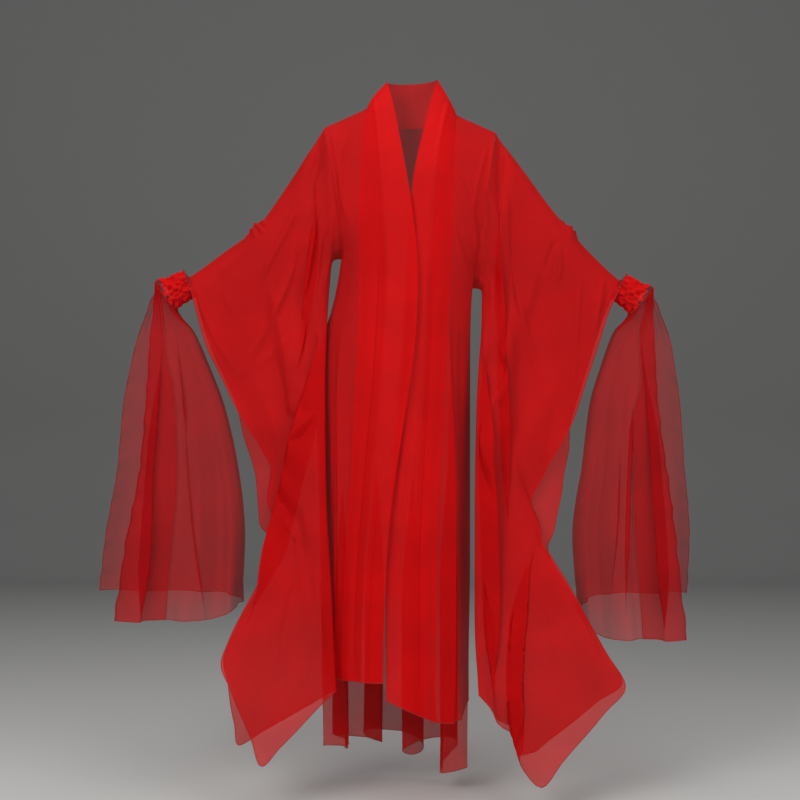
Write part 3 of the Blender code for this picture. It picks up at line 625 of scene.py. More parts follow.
# Creases seen from the front: x and depth of both ends, bow, half width and push
CREASE = "x down end_x end_down bow half push"
SLEEVE_RIGHT_CREASES = table(CREASE, [
    (-244, 220, -335, 397, 0, 9, 6.5),
    (-227, 238, -384, 599, 23, 10, 7.0),
    (-195, 116, -262, 559, 9, 13, 8.0),
    (-183, 53, -192, 425, 18, 8, 5.0),
    (-333, 309, -435, 391, 1, 9, -4.0),
    (-412, 410, -394, 466, 4, 7, 3.5),
    (-249, 506, -391, 604, 3, 9, 3.5),
    (-197, 495, -219, 910, 5, 12, -7.0),
    (-231, 1013, -266, 1302, -19, 10, -6.0),
    (-333, 1031, -392, 1184, 1, 8, 5.0),
    (-204, 994, -178, 1246, 0, 10, 5.0),
    (-296, 1126, -318, 1365, -12, 9, 4.5),
    (-473, 407, -384, 585, -7, 7, 4.0),
])
SLEEVE_LEFT_CREASES = table(CREASE, [
    (330, 293, 304, 364, -3, 7, -5.0),
    (333, 306, 330, 395, 5, 7, 5.0),
    (382, 348, 364, 659, 1, 9, 6.0),
    (230, 293, 313, 639, -17, 9, 6.5),
    (212, 93, 236, 760, -4, 12, 5.0),
    (174, 158, 160, 492, -4, 8, 5.0),
    (434, 363, 405, 514, 5, 7, 4.0),
    (450, 396, 419, 541, -3, 6, -3.5),
    (321, 659, 313, 763, 0, 7, -4.0),
    (196, 626, 203, 736, -1, 7, 4.0),
    (304, 1083, 327, 1239, -3, 8, -5.0),
    (191, 996, 169, 1256, 2, 12, 7.0),
    (365, 1107, 428, 1243, 1, 8, 4.5),
    (260, 996, 212, 1213, 7, 9, -5.0),
])
FRONT_RIGHT_CREASES = table(CREASE, [
    (-97, 26, -121, 280, -38, 7, 3.5),
    (-148, 496, -161, 1212, -3, 12, 5.0),
    (-122, 605, -131, 1233, 0, 10, -4.0),
    (-140, 320, -171, 517, 3, 9, 4.0),
    (-172, 43, -139, 241, 2, 7, 3.0),
])
FRONT_LEFT_CREASES = table(CREASE, [
    (74, 208, 135, 386, 2, 9, 4.5),
    (91, 134, 150, 346, 19, 8, 3.5),
    (82, 496, 88, 1276, 2, 12, 5.0),
    (112, 431, 117, 1256, 3, 10, -4.5),
    (178, 76, 136, 274, -5, 7, 3.0),
])
# The creases of a sleeve's back layer lie this far from those of its front layer
BEHIND = (14, 0, -9)

# Folds where the cloth lies over itself, seen from the front in the same way
PLEAT = "x down end_x end_down bow half over"
SLEEVE_RIGHT_PLEATS = table(PLEAT, [
    (-195, 129, -258, 660, 4, 20, 0.85),
    (-182, 389, -365, 1190, 25, 42, 1.0),
])
SLEEVE_LEFT_PLEATS = table(PLEAT, [
    (196, 96, 222, 1040, 0, 20, 0.8),
    (161, 380, 188, 1420, 1, 32, 1.0),
    (300, 900, 262, 1520, -50, 36, 0.95),
])
BACK_PLEATS = table(PLEAT, [
    (-148, 620, -160, 2000, 0, 38, 1.0),
    (-72, 560, -82, 2000, 2, 48, 1.0),
    (10, 600, 14, 2000, -2, 44, 1.0),
    (94, 520, 98, 2000, 0, 40, 1.0),
])
FRONT_RIGHT_PLEATS = table(PLEAT, [(-150, 420, -166, 1500, 2, 14, 0.8)])
FRONT_LEFT_PLEATS = table(PLEAT, [(92, 380, 97, 1600, -2, 17, 0.85)])
CUFF_RIGHT_PLEATS = table(PLEAT, [
    (-543, 440, -600, 1230, 6, 30, 0.95),
    (-520, 470, -480, 760, 0, 8, 0.7),
    (-500, 560, -440, 1190, -8, 9, 0.75),
])
CUFF_LEFT_PLEATS = table(PLEAT, [
    (509, 450, 475, 1190, -5, 9, 0.8),
    (508, 430, 572, 1260, 4, 36, 1.0),
    (470, 640, 440, 1200, 5, 8, 0.7),
])
# How far the layers of such a fold lie apart
PLEAT_LIFT = 3.0

# Fine folds of the cuff pieces, and their gathers at the wrist
CUFF_CREASES = table("start end place end_place bow half push", [
    (0.05, 0.92, 0.06, 0.10, 0.02, 0.018, 4.0),
    (0.04, 1.08, 0.15, 0.19, 0.02, 0.016, -5.0),
    (0.05, 0.70, 0.22, 0.27, 0.00, 0.014, 4.6),
    (0.04, 1.08, 0.31, 0.34, 0.01, 0.018, 5.2),
    (0.06, 0.62, 0.38, 0.40, 0.00, 0.014, -4.0),
    (0.04, 1.08, 0.44, 0.45, 0.00, 0.014, 5.0),
    (0.05, 0.80, 0.53, 0.52, 0.00, 0.014, -4.4),
    (0.04, 1.08, 0.60, 0.57, 0.00, 0.016, 4.8),
    (0.06, 0.66, 0.66, 0.64, 0.01, 0.013, 4.2),
    (0.04, 1.08, 0.72, 0.69, 0.00, 0.018, -5.4),
    (0.05, 0.90, 0.80, 0.78, 0.01, 0.016, 4.6),
    (0.04, 1.08, 0.87, 0.86, 0.00, 0.016, 5.0),
])
GATHERS = 26
GATHER_HEIGHT = 3.2
GATHER_IN, GATHER_REACH = 0.02, 0.34
# The gathers are unequal: up to this many ahead or behind, in a wave of this many radians
GATHER_DRIFT, GATHER_PACE = 0.8, 7

# Knots of bunched cloth on the top of each sleeve at the elbow
BUNCH_RIGHT = {"x": -340, "y": -14, "z": -262}
BUNCH_LEFT = {"x": 362, "y": -12, "z": -268}
BUNCH_REACH, BUNCH_RISE = 29, 10.5
# The knot's heart is this share of its reach; the puckers lie in a ring round it
HEART, RING, RING_HALF = 0.62, 0.5, 0.55
PUCKERS, PUCKER_HEIGHT, PUCKER_LEAN, PUCKER_TWIST = 5, 3.4, 0.35, 0.12
# Finer folds that cross the knot
CROSSING = {"height": 0.45, "x": 0.3, "z": 0.24}

# Waves of the wrist frills: how many go round, how each leans along the arm, its start and height
WAVE = "round lean start height"
# The heights of the flutes and of the edge's waves are shares of the profile's wave
FLUTES = table(WAVE, [(RUFFLE_WAVES, 0.03, math.pi / 2, 0.6), (19, 0.06, 0.0, 0.35)])
EDGE_WAVES = table(WAVE, [(3, 0.0, 1.0, 0.35), (13, 0.1, 0.0, 0.25)])
CRUMPLES = table(WAVE, [
    (7, -0.24, 5.2, 1.3), (9, 0.31, 1.1, 1.2), (12, -0.37, 0.9, 1.4), (15, 0.26, 4.1, 1.4),
    (19, -0.14, 0.3, 1.1), (24, 0.2, 2.9, 0.8), (31, -0.28, 0.8, 0.4),
])
FRILL_ROWS, FRILL_COLUMNS = 44, 540
# Toward the sleeve a frill grows longer and narrower by these shares
FRILL_OVER, FRILL_TAPER = 0.2, 0.22
TAPER_FROM, TAPER_OVER = 6, 20

# The sheet lies in the middle of its solid's wall
WALL_MIDDLE = 0.6
# Fine grid: steps between two rows and two columns of the solid's own grid
FINE = {"back": (8, 8), "front": (8, 9), "band": (8, 10), "sleeve": (12, 5), "cuff": (18, 9)}
# The fronts run on under the band as far as these shares of its width
UNDER_BAND = (0.15, 0.30, 0.45)
UNDER_BAND_GAP = 2.0
# The front edge of a cuff piece is turned back over these columns
TURNED_BACK = {"from": 2, "columns": 34, "rise": 6.0, "gap": 2.6}
# Waves of the free edges: how many, and how high in millimetres
FLUTTER = {"back": (9, 5.0), "front": (2.5, 3.0), "sleeve": (7, 4.5), "cuff": (10, 5.0), "side": (9, 3.0)}
FLUTTER_REACH, FLUTTER_HEIGHT = 0.10, 0.7
# A second wave makes them uneven
UNEVEN = {"height": 0.5, "pace": 1.7, "start": 1.3}
# Waves and gathers fall off a little faster than a gentle step
FALL = 1.5
SIDE_PACE, SIDE_REACH = 1.3, 3
BACK_LAYER_PHASE = 1.3
# A fold is no steeper than this, and its cross section falls off this fast
FOLD_STEEP, FOLD_FALL = 0.35, 1.5
# Shares at the start and the end over which folds fade in and out
FOLD_ENDS, CREASE_ENDS, PLEAT_ENDS = (0.16, 0.22), (0.2, 0.25), (0.4, 0.3)
# Seams stay in place: folds grow from them over these shares of the width
BACK_SIDES, FRONT_SIDES, SLEEVE_SIDES, CUFF_SIDES = 0.06, 0.12, 0.05, (0.08, 0.06)
BAND_SEAM, BAND_FOLDS_FROM, BAND_FOLDS_IN = 0.1, 0.24, 0.12
# The left band's and cuff piece's folds lie this share of the width further on than the right ones'
BAND_SHIFT, CUFF_SHIFT = 0.04, 0.02
# The panels are smoothed over this many rows each way, fully between these shares of the length
EASE_ROWS, EASE_ROUNDS, EASE_ENDS = 9, 2, (0.2, 0.1)


def spline(points, by, axis, closed):
    """Points on a smooth curve through the given ones, with by steps between each two."""
    p = np.moveaxis(points, axis, 0)
    if closed:
        padded, count = np.concatenate([p[-1:], p, p[:2]]), len(p)
    else:
        padded, count = np.concatenate([2 * p[:1] - p[1:2], p, 2 * p[-1:] - p[-2:-1]]), len(p) - 1
    a, b, c, d = (padded[k:k + count, None] for k in range(4))
    t = (np.arange(by) / by).reshape((1, by) + (1,) * (p.ndim - 1))
    out = 0.5 * (2 * b + (c - a) * t + (2 * a - 5 * b + 4 * c - d) * t ** 2
                 + (3 * b - a - 3 * c + d) * t ** 3)
    out = out.reshape((count * by,) + p.shape[1:])
    return np.moveaxis(out if closed else np.concatenate([out, p[-1:]]), 0, axis)


def fine(grid, steps, ring=False):
    """The solid's grid as an array of fine points."""
    points = np.array([[tuple(p) for p in row] for row in grid])
    return spline(spline(points, steps[0], 0, False), steps[1], 1, ring)


def shares(points, ring=False):
    """Share across and share down of every point."""
    rows, columns = points.shape[:2]
    across = np.arange(columns) / (columns if ring else columns - 1)
    return np.meshgrid(across, np.linspace(0, 1, rows))


def out_of(points, outward, ring=False):
    """Unit normals; outward is the solid's own sign."""
    down = np.gradient(points, axis=0)
    if ring:
        across = np.roll(points, -1, 1) - np.roll(points, 1, 1)
    else:
        across = np.gradient(points, axis=1)
    normal = np.cross(down, across) * outward
    return normal / np.maximum(np.linalg.norm(normal, axis=2, keepdims=True), 1e-9)


def soft(t):
    """A gentle step from 0 to 1, for arrays."""
    t = np.clip(t, 0, 1)
    return t * t * (3 - 2 * t)


def fade(t, ends):
    """0 at both ends, 1 between them; ends are the shares over which it grows and falls."""
    return soft(t / ends[0]) * soft((1 - t) / ends[1])


def swell(away, half):
    """Cross section of a fold."""
    return np.exp(-FOLD_FALL * (away / half) ** 2)


def width_at(points):
    """The sheet's width as it would be at each point's own pace across, in millimetres."""
    return np.linalg.norm(np.gradient(points, axis=1), axis=2) * (points.shape[1] - 1)


def folds(along, across, room, rows, shift=0.0, strength=1.0):
    """Height of the folds, lower where the room across is short."""
    height = np.zeros_like(along)
    for f in rows:
        t = (along - f["start"]) / (f["end"] - f["start"])
        place = f["place"] + (f["end_place"] - f["place"]) * t + f["bow"] * 4 * t * (1 - t) + shift
        most = FOLD_STEEP * f["half"] * room
        push = np.clip(f["push"] * strength, -most, most)
        height += push * swell(across - place, f["half"]) * fade(t, FOLD_ENDS)
    return height


def near(points, line):
    """How far along (0 to 1) and across (millimetres) a line each point lies, and the way across."""
    start = np.array([line["x"], -line["down"]])
    run = np.array([line["end_x"], -line["end_down"]]) - start
    length = np.linalg.norm(run)
    off = points[..., (0, 2)] - start
    t = off @ run / length ** 2
    side = np.array([-run[1], run[0]]) / length
    return t, off @ side - line["bow"] * 4 * t * (1 - t), side


def creases(points, rows, strength):
    """Height of the creases drawn as lines seen from the front."""
    height = np.zeros(points.shape[:2])
    for line in rows:
        t, aside, _ = near(points, line)
        height += line["push"] * strength * swell(aside, line["half"]) * fade(t, CREASE_ENDS)
    return height


def pleated(points, normal, rows, hold):
    """Lays the sheet over itself along each line: on, back and on again, three layers deep."""
    moved = points.copy()
    for line in rows:
        t, aside, side = near(points, line)
        turn = np.clip(aside / line["half"], -1, 1)
        grown = fade(t, PLEAT_ENDS) * hold
        wave = np.sin(np.pi * turn) * grown
        slide = line["over"] * line["half"] * wave
        lift = PLEAT_LIFT * (np.cos(np.pi * turn / 2) ** 2 * grown - wave)
        moved[..., 0] -= slide * side[0]
        moved[..., 2] -= slide * side[1]
        moved += normal * lift[..., None]
    return moved


def eased(points, reach, hold):
    """Softens the form down its rows; hold is 0 where it must stay."""
    soft_points = points
    for _ in range(EASE_ROUNDS):
        total = np.cumsum(np.concatenate([np.repeat(soft_points[:1], reach + 1, 0), soft_points,
                                          np.repeat(soft_points[-1:], reach, 0)]), axis=0)
        soft_points = (total[2 * reach + 1:] - total[:-2 * reach - 1]) / (2 * reach + 1)
    return points + (soft_points - points) * hold[..., None]


def flutter(share, edge, waves, size, phase=0.0):
    """Small uneven waves that grow towards a free edge; edge is the share of the way from it."""
    turn = 2 * np.pi * waves * share
    wave = np.sin(turn + phase) + UNEVEN["height"] * np.sin(UNEVEN["pace"] * turn + UNEVEN["start"] + phase)
    return wave * size * FLUTTER_HEIGHT * soft(1 - edge / FLUTTER_REACH) ** FALL


# Meshes
def sheet_object(name, points, finish, ring=False, flip=False):
    """A single sheet from an array of points in millimetres, with its lengths as its UV map."""
    rows, columns = points.shape[:2]
    closed = np.concatenate([points, points[:, :1]], axis=1) if ring else points
    across = np.linalg.norm(np.diff(closed, axis=1), axis=2).mean(axis=0)
    down = np.linalg.norm(np.diff(points, axis=0), axis=2).mean(axis=1)
    u = np.concatenate([[0], np.cumsum(across)]) * MM
    v = np.concatenate([[0], np.cumsum(down)]) * MM
    wraps = columns if ring else columns - 1
    i, j = np.meshgrid(np.arange(rows - 1), np.arange(wraps), indexing="ij")
    corners = [(i, j), (i, j + 1), (i + 1, j + 1), (i + 1, j)]
    if flip:
        corners.reverse()
    faces = np.stack([a * columns + b % columns for a, b in corners], axis=-1).reshape(-1, 4)
    uvs = np.stack([np.stack([u[b], v[a]], axis=-1) for a, b in corners], axis=2).reshape(-1, 2)
    mesh = bpy.data.meshes.new(name)
    mesh.from_pydata((points.reshape(-1, 3) * MM).tolist(), [], faces.tolist())
    mesh.uv_layers.new(name="cloth").data.foreach_set("uv", uvs.ravel())
    mesh.shade_smooth()
    mesh.materials.append(finish)
    piece = bpy.data.objects.new(name, mesh)
    bpy.context.scene.collection.objects.link(piece)
    return piece


def wear(piece, node=None):
    """The piece rides with the robe and stands for its solid."""
    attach(piece, "root")
    if node:
        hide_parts(node)


# Materials
def linear(code):
    """Linear colour from an sRGB hex code."""
    values = [int(code[k:k + 2], 16) / 255 for k in (0, 2, 4)]
    return tuple(c / 12.92 if c <= 0.04045 else ((c + 0.055) / 1.055) ** 2.4 for c in values) + (1.0,)


def add(tree, kind, settings=None, links=None):
    """Adds a node; links maps an input's name or number to (node, output)."""
    node = tree.nodes.new(kind)
    for key, value in (settings or {}).items():
        if key in node.inputs:
            node.inputs[key].default_value = value
        else:
            setattr(node, key, value)
    for key, (source, output) in (links or {}).items():
        tree.links.new(source.outputs[output], node.inputs[key])
    return node


def blank(name):
    """A new material with its node tree and its shader."""
    material = bpy.data.materials.new(name)
    material.use_nodes = True
    return material, material.node_tree, material.node_tree.nodes["Principled BSDF"]


def blend(tree, factor, first, second, shader):
    """Base colour that goes from the first to the second with the factor."""
    colours = add(tree, "ShaderNodeMix", {"data_type": "RGBA"})
    tree.links.new(factor.outputs[0], colours.inputs["Factor"])
    colours.inputs[6].default_value = linear(first)
    colours.inputs[7].default_value = linear(second)
    tree.links.new(colours.outputs[2], shader.inputs["Base Color"])


def cloth_material(name, colour, thick, cover, uneven, sheen, slub_mm):
    """Thin woven cloth. Fine yarn slubs in both ways of the weave change its cover a little."""
    material, tree, shader = blank(name)
    where = add(tree, "ShaderNodeTexCoord")
    streaks = []
    for stretch in ((1.0, 0.06, 1.0), (0.06, 1.0, 1.0)):
        way = add(tree, "ShaderNodeMapping", {"Scale": stretch}, {"Vector": (where, "UV")})
        streaks.append(add(tree, "ShaderNodeTexNoise", {"Scale": 1000 / slub_mm, "Detail": 2.0},
                           {"Vector": (way, 0)}))
    weave = add(tree, "ShaderNodeMath", {"operation": "ADD"}, {0: (streaks[0], 0), 1: (streaks[1], 0)})
    mottle = add(tree, "ShaderNodeTexNoise", {"Scale": 9.0, "Detail": 2.0}, {"Vector": (where, "Object")})
    tint = add(tree, "ShaderNodeMapRange", {"From Min": 0.3, "From Max": 0.7}, {"Value": (mottle, 0)})
    blend(tree, tint, colour, thick, shader)
    alpha = add(tree, "ShaderNodeMapRange",
                {"From Min": 0.7, "From Max": 1.3, "To Min": cover - uneven, "To Max": cover + uneven},
                {"Value": (weave, 0)})
    tree.links.new(alpha.outputs[0], shader.inputs["Alpha"])
    bump = add(tree, "ShaderNodeBump", {"Strength": 0.2, "Distance": 0.0003}, {"Height": (weave, 0)})
    tree.links.new(bump.outputs[0], shader.inputs["Normal"])
    for socket, value in (("Roughness", 0.7), ("Specular IOR Level", 0.08), ("IOR", 1.5),
                          ("Sheen Weight", sheen), ("Sheen Roughness", 0.4),
                          ("Sheen Tint", linear("E03428"))):
        shader.inputs[socket].default_value = value
    return material


def thread_material(name, colour):
    """Spun polyester thread and rolled edges: closed, a little darker than the sheer cloth."""
    material, tree, shader = blank(name)
    where = add(tree, "ShaderNodeTexCoord")
    ply = add(tree, "ShaderNodeTexNoise", {"Scale": 900.0, "Detail": 1.0}, {"Vector": (where, "Object")})
    bump = add(tree, "ShaderNodeBump", {"Strength": 0.3, "Distance": 0.0003}, {"Height": (ply, 0)})
    tree.links.new(bump.outputs[0], shader.inputs["Normal"])
    shader.inputs["Base Color"].default_value = linear(colour)
    shader.inputs["Roughness"].default_value = 0.6
    return material


def finishes():
    """The robe's materials, each made once."""
    s = bpy.context.scene.robe
    if "Chiffon" not in bpy.data.materials:
        # Polyester chiffon, one layer: saturated red that lets what is behind it show
        cloth_material("Chiffon", "CE0408", "BE0306", s.chiffon_cover, 0.03, 0.06, 2.0)
        # The same chiffon doubled and pressed: closer, with no more sheen
        cloth_material("Chiffon band", "DC0609", "CC0407", s.band_cover, 0.02, 0.06, 2.0)
        # Organza, crisp and very open, so the wall behind shows through one layer
        cloth_material("Organza", "BE0A12", "AE080F", s.organza_cover, 0.02, 0.10, 2.6)
        # Rolled edges look darker than the sheet because they are closed
        thread_material("Rolled edge", "A00408")
        # Matching sewing thread
        thread_material("Sewing thread", "B80508")
    return bpy.data.materials


# Node trees for what follows an edge or a seam
def node_tree(name, sockets):
    """A geometry tree with its named inputs."""
    tree = bpy.data.node_groups.new(name, "GeometryNodeTree")
    tree.interface.new_socket(name="Geometry", in_out="INPUT", socket_type="NodeSocketGeometry")
    for label, kind in sockets:
        tree.interface.new_socket(name=label, in_out="INPUT", socket_type=kind)
    tree.interface.new_socket(name="Geometry", in_out="OUTPUT", socket_type="NodeSocketGeometry")
    return tree, add(tree, "NodeGroupInput"), add(tree, "NodeGroupOutput")


def finish_tree(tree, start, end, made):
    """Every tree ends in real geometry with its material."""
    real = add(tree, "GeometryNodeRealizeInstances", links={"Geometry": made})
    done = add(tree, "GeometryNodeSetMaterial",
               links={"Geometry": (real, 0), "Material": (start, "Material")})
    tree.links.new(done.outputs[0], end.inputs[0])
    return tree


def rolled_edge_tree():
    """A thin tube along each curve."""
    tree, start, end = node_tree("Rolled edge", [
        ("Step", "NodeSocketFloat"), ("Radius", "NodeSocketFloat"), ("Material", "NodeSocketMaterial")])
    path = add(tree, "GeometryNodeResampleCurve", {"mode": "LENGTH"},
               {"Curve": (start, "Geometry"), "Length": (start, "Step")})
    ring = add(tree, "GeometryNodeCurvePrimitiveCircle", {"Resolution": 6}, {"Radius": (start, "Radius")})
    tube = add(tree, "GeometryNodeCurveToMesh", {"Fill Caps": True},
               {"Curve": (path, 0), "Profile Curve": (ring, 0)})
    return finish_tree(tree, start, end, (tube, 0))


def stitch_tree():
    """A short stitch at every step along each curve."""
    tree, start, end = node_tree("Stitch line", [
        ("Step", "NodeSocketFloat"), ("Radius", "NodeSocketFloat"), ("Length", "NodeSocketFloat"),
        ("Material", "NodeSocketMaterial")])
    spots = add(tree, "GeometryNodeCurveToPoints", {"mode": "LENGTH"},
                {"Curve": (start, "Geometry"), "Length": (start, "Step")})
    turn = add(tree, "FunctionNodeAlignRotationToVector", {"axis": "Z"}, {"Vector": (spots, "Tangent")})
    stitch = add(tree, "GeometryNodeMeshCylinder", {"Vertices": 5},
                 {"Radius": (start, "Radius"), "Depth": (start, "Length")})
    lay = add(tree, "GeometryNodeInstanceOnPoints",
              links={"Points": (spots, "Points"), "Instance": (stitch, "Mesh"), "Rotation": (turn, 0)})
    return finish_tree(tree, start, end, (lay, 0))


def along_paths(name, tree, paths, values):
    """Runs a node tree on polylines in millimetres and keeps the result as a plain mesh."""
    line = bpy.data.curves.new(name + "_line", "CURVE")
    line.dimensions = "3D"
    for path, closed in paths:
        strand = line.splines.new("POLY")
        strand.points.add(len(path) - 1)
        strand.points.foreach_set("co", np.c_[path * MM, np.ones(len(path))].ravel())
        strand.use_cyclic_u = closed
    holder = bpy.data.objects.new(name + "_line", line)
    bpy.context.scene.collection.objects.link(holder)
    modifier = holder.modifiers.new("Nodes", "NODES")
    modifier.node_group = tree
    for socket in tree.interface.items_tree:
        if socket.in_out == "INPUT" and socket.name in values:
            modifier[socket.identifier] = values[socket.name]
    made = bpy.data.meshes.new_from_object(holder.evaluated_get(bpy.context.evaluated_depsgraph_get()))
    bpy.data.objects.remove(holder, do_unlink=True)
    made.name = name
    made.shade_smooth()
    piece = bpy.data.objects.new(name, made)
    bpy.context.scene.collection.objects.link(piece)
    wear(piece)
    return piece


# Forms of the pieces
def back_form(grid, depth):
    """The back, with its seams held in place."""
    points = fine(grid, FINE["back"])
    u, v = shares(points)
    hold = fade(u, (BACK_SIDES, BACK_SIDES))
    points = eased(points, EASE_ROWS, hold * fade(v, EASE_ENDS))
    lift = (folds(v, 2 * u - 1, width_at(points) / 2, BACK_CREASES, strength=depth)
            + flutter(u, 1 - v, *FLUTTER["back"]))
    normal = out_of(points, -1)
    points = pleated(points, normal, BACK_PLEATS, hold)
    return points + normal * (lift * hold + WALL_MIDDLE)[..., None]


def front_form(grid, band_grid, s, depth):
    """A front that runs on under its band, and the band's points, smoothed over the same rows."""
    points = fine(grid, FINE["front"])
    u, v = shares(points)
    hold = fade(u, (FRONT_SIDES, FRONT_SIDES))
    ease = fade(v, EASE_ENDS)
    points = eased(points, EASE_ROWS, ease * soft((1 - u) / FRONT_SIDES))
    band = fine(band_grid, FINE["band"])
    ease = np.concatenate([np.zeros((len(band) - len(points), 1)), ease[:, :1]])
    band = eased(band, EASE_ROWS, np.repeat(ease, band.shape[1], axis=1))
    lift = creases(points, s["front_creases"], depth) + flutter(u, 1 - v, *FLUTTER["front"])
    normal = out_of(points, s["side"])
    points = pleated(points, normal, s["front_pleats"], hold)
    panel = points + normal * (lift * hold + WALL_MIDDLE)[..., None]
    under = band[-len(points):]
    columns = [int(w * (under.shape[1] - 1)) for w in reversed(UNDER_BAND)]
    tucked = under[:, columns] - out_of(under, -s["side"])[:, columns] * UNDER_BAND_GAP
    return np.concatenate([tucked, panel], axis=1), band


def band_form(points, s, depth):
    """One half of the collar band, flat where it is sewn on."""
    u, v = shares(points)
    lift = (folds(v, u, width_at(points), BAND_CREASES, s["band_shift"], depth)
            * soft(u / BAND_SEAM) * soft((v - BAND_FOLDS_FROM) / BAND_FOLDS_IN))
    return points + out_of(points, -s["side"]) * (lift + WALL_MIDDLE)[..., None]


def sleeve_form(armhole, s, depth):
    """A sleeve, all round, with the gathered knot at the elbow."""
    grid = sleeve_grid(s["xs"], s["downs"], armhole, s["back_layer"])
    points = fine(grid, FINE["sleeve"], ring=True)
    u, v = shares(points, ring=True)
    section = 1 - np.abs(2 * u - 1)
    behind = u > 0.5
    lift = np.where(behind, creases(points + BEHIND, s["sleeve_creases"], depth),
                    creases(points, s["sleeve_creases"], depth))
    hold = soft(v / SLEEVE_SIDES) * fade(section, (SLEEVE_SIDES, SLEEVE_SIDES))
    normal = out_of(points, -s["side"], ring=True)
    knot = bunch_height(points, s["bunch"])
    points = pleated(points, normal, s["sleeve_pleats"], hold)
    lift = lift * hold + flutter(section, 1 - v, *FLUTTER["sleeve"], behind * BACK_LAYER_PHASE) + knot
    return points + normal * (lift + WALL_MIDDLE)[..., None]


def cuff_form(s, depth):
    """A hanging cuff piece, gathered at the wrist, with its front edge turned back."""
    points = fine(water_grid(s["wrist"], s["water"]), FINE["cuff"])
    u, v = shares(points)
    lift = folds(v, u, width_at(points), CUFF_CREASES, s["cuff_shift"], depth)
    gathers = np.sin(2 * np.pi * (GATHERS * u + GATHER_DRIFT * np.sin(GATHER_PACE * u)))
    lift += gathers * GATHER_HEIGHT * soft(v / GATHER_IN) * (1 - soft(v / GATHER_REACH)) ** FALL
    lift += flutter(u, 1 - v, *FLUTTER["cuff"])
    lift += flutter(v * SIDE_PACE, np.minimum(u, 1 - u) * SIDE_REACH, *FLUTTER["side"])
    normal = out_of(points, s["side"])
    front_from = WATER_BACK_COLUMNS / (WATER_BACK_COLUMNS + WATER_FRONT_COLUMNS)
    front = soft((u - front_from) / CUFF_SIDES[0]) * soft((1 - u) / CUFF_SIDES[1])
    points = pleated(points, normal, s["cuff_pleats"], front)
    sheet = points + normal * (lift + WALL_MIDDLE)[..., None]
    normal = out_of(sheet, s["side"])
    back_columns = np.arange(TURNED_BACK["from"], TURNED_BACK["columns"])
    lay = soft(back_columns / TURNED_BACK["rise"])[None, :, None] * TURNED_BACK["gap"]
    strip = sheet[:, -1 - back_columns] + normal[:, -1 - back_columns] * lay
    return np.concatenate([sheet, strip], axis=1)


def bunch_height(points, spot):
    """A small gathered knot: a raised heart with rays of puckers round it."""
    x, y, z = np.moveaxis(points - np.array([spot["x"], spot["y"], spot["z"]]), 2, 0)
    far = np.sqrt(x ** 2 + y ** 2 + z ** 2) / BUNCH_REACH
    turn = np.arctan2(y, z + PUCKER_LEAN * x)
    puckers = (np.cos(PUCKERS * turn + PUCKER_TWIST * x)
               + CROSSING["height"] * np.sin(CROSSING["x"] * x + CROSSING["z"] * z))
    return (BUNCH_RISE * np.exp(-(far / HEART) ** 2)
            + PUCKER_HEIGHT * puckers * np.exp(-((far - RING) / RING_HALF) ** 2))


def waves(rows, turn, lean):
    """Sum of waves round a frill."""
    return sum(w["height"] * np.sin(w["round"] * turn + w["lean"] * lean + w["start"]) for w in rows)


def frill(wrist):
    """The gathered band at the wrist: crumpled all round, with fluted edges."""
    centre, axis, back, up = (np.array(tuple(part)) for part in wrist_frame(wrist))
    lean = np.linspace(RUFFLE_PROFILE[0]["along"], RUFFLE_PROFILE[-1]["along"], FRILL_ROWS)[:, None]
    turn = np.arange(FRILL_COLUMNS) / FRILL_COLUMNS * 2 * np.pi
    radius, wave = (np.array([[read(RUFFLE_PROFILE, "along", a, column)] for a in lean[:, 0]])
                    for column in ("radius", "wave"))
    reach = radius + wave * waves(FLUTES, turn, lean) + waves(CRUMPLES, turn, lean)
    reach = reach * (1 - FRILL_TAPER * soft((-lean - TAPER_FROM) / TAPER_OVER))
    slide = lean * (1 + FRILL_OVER * soft(lean / lean[0])) + wave * waves(EDGE_WAVES, turn, lean)
    round_way = up * np.cos(turn)[:, None] + back * np.sin(turn)[:, None]
    return centre + axis * slide[..., None] + round_way[None] * (reach + WALL_MIDDLE)[..., None]


# The wearer's right and left side
SIDES = {
    "right": {
        "side": -1, "armhole_column": 0, "band_shift": 0.0, "cuff_shift": 0.0,
        "collar": COLLAR_RIGHT, "hem": FRONT_RIGHT_HEM, "folds": FRONT_RIGHT_FOLDS,
        "front_creases": FRONT_RIGHT_CREASES, "front_pleats": FRONT_RIGHT_PLEATS,
        "xs": RIGHT_X, "downs": RIGHT_DOWN, "back_layer": BACK_LAYER_RIGHT, "bunch": BUNCH_RIGHT,
        "sleeve_creases": SLEEVE_RIGHT_CREASES, "sleeve_pleats": SLEEVE_RIGHT_PLEATS,
        "wrist": WRIST_RIGHT, "water": WATER_RIGHT, "cuff_pleats": CUFF_RIGHT_PLEATS,
    },
    "left": {
        "side": 1, "armhole_column": -1, "band_shift": BAND_SHIFT, "cuff_shift": CUFF_SHIFT,
        "collar": COLLAR_LEFT, "hem": FRONT_LEFT_HEM, "folds": FRONT_LEFT_FOLDS,
        "front_creases": FRONT_LEFT_CREASES, "front_pleats": FRONT_LEFT_PLEATS,
        "xs": LEFT_X, "downs": LEFT_DOWN, "back_layer": BACK_LAYER_LEFT, "bunch": BUNCH_LEFT,
        "sleeve_creases": SLEEVE_LEFT_CREASES, "sleeve_pleats": SLEEVE_LEFT_PLEATS,
        "wrist": WRIST_LEFT, "water": WATER_LEFT, "cuff_pleats": CUFF_LEFT_PLEATS,
    },
}
# Worked out once, by the names of the solids
FORMS = {}


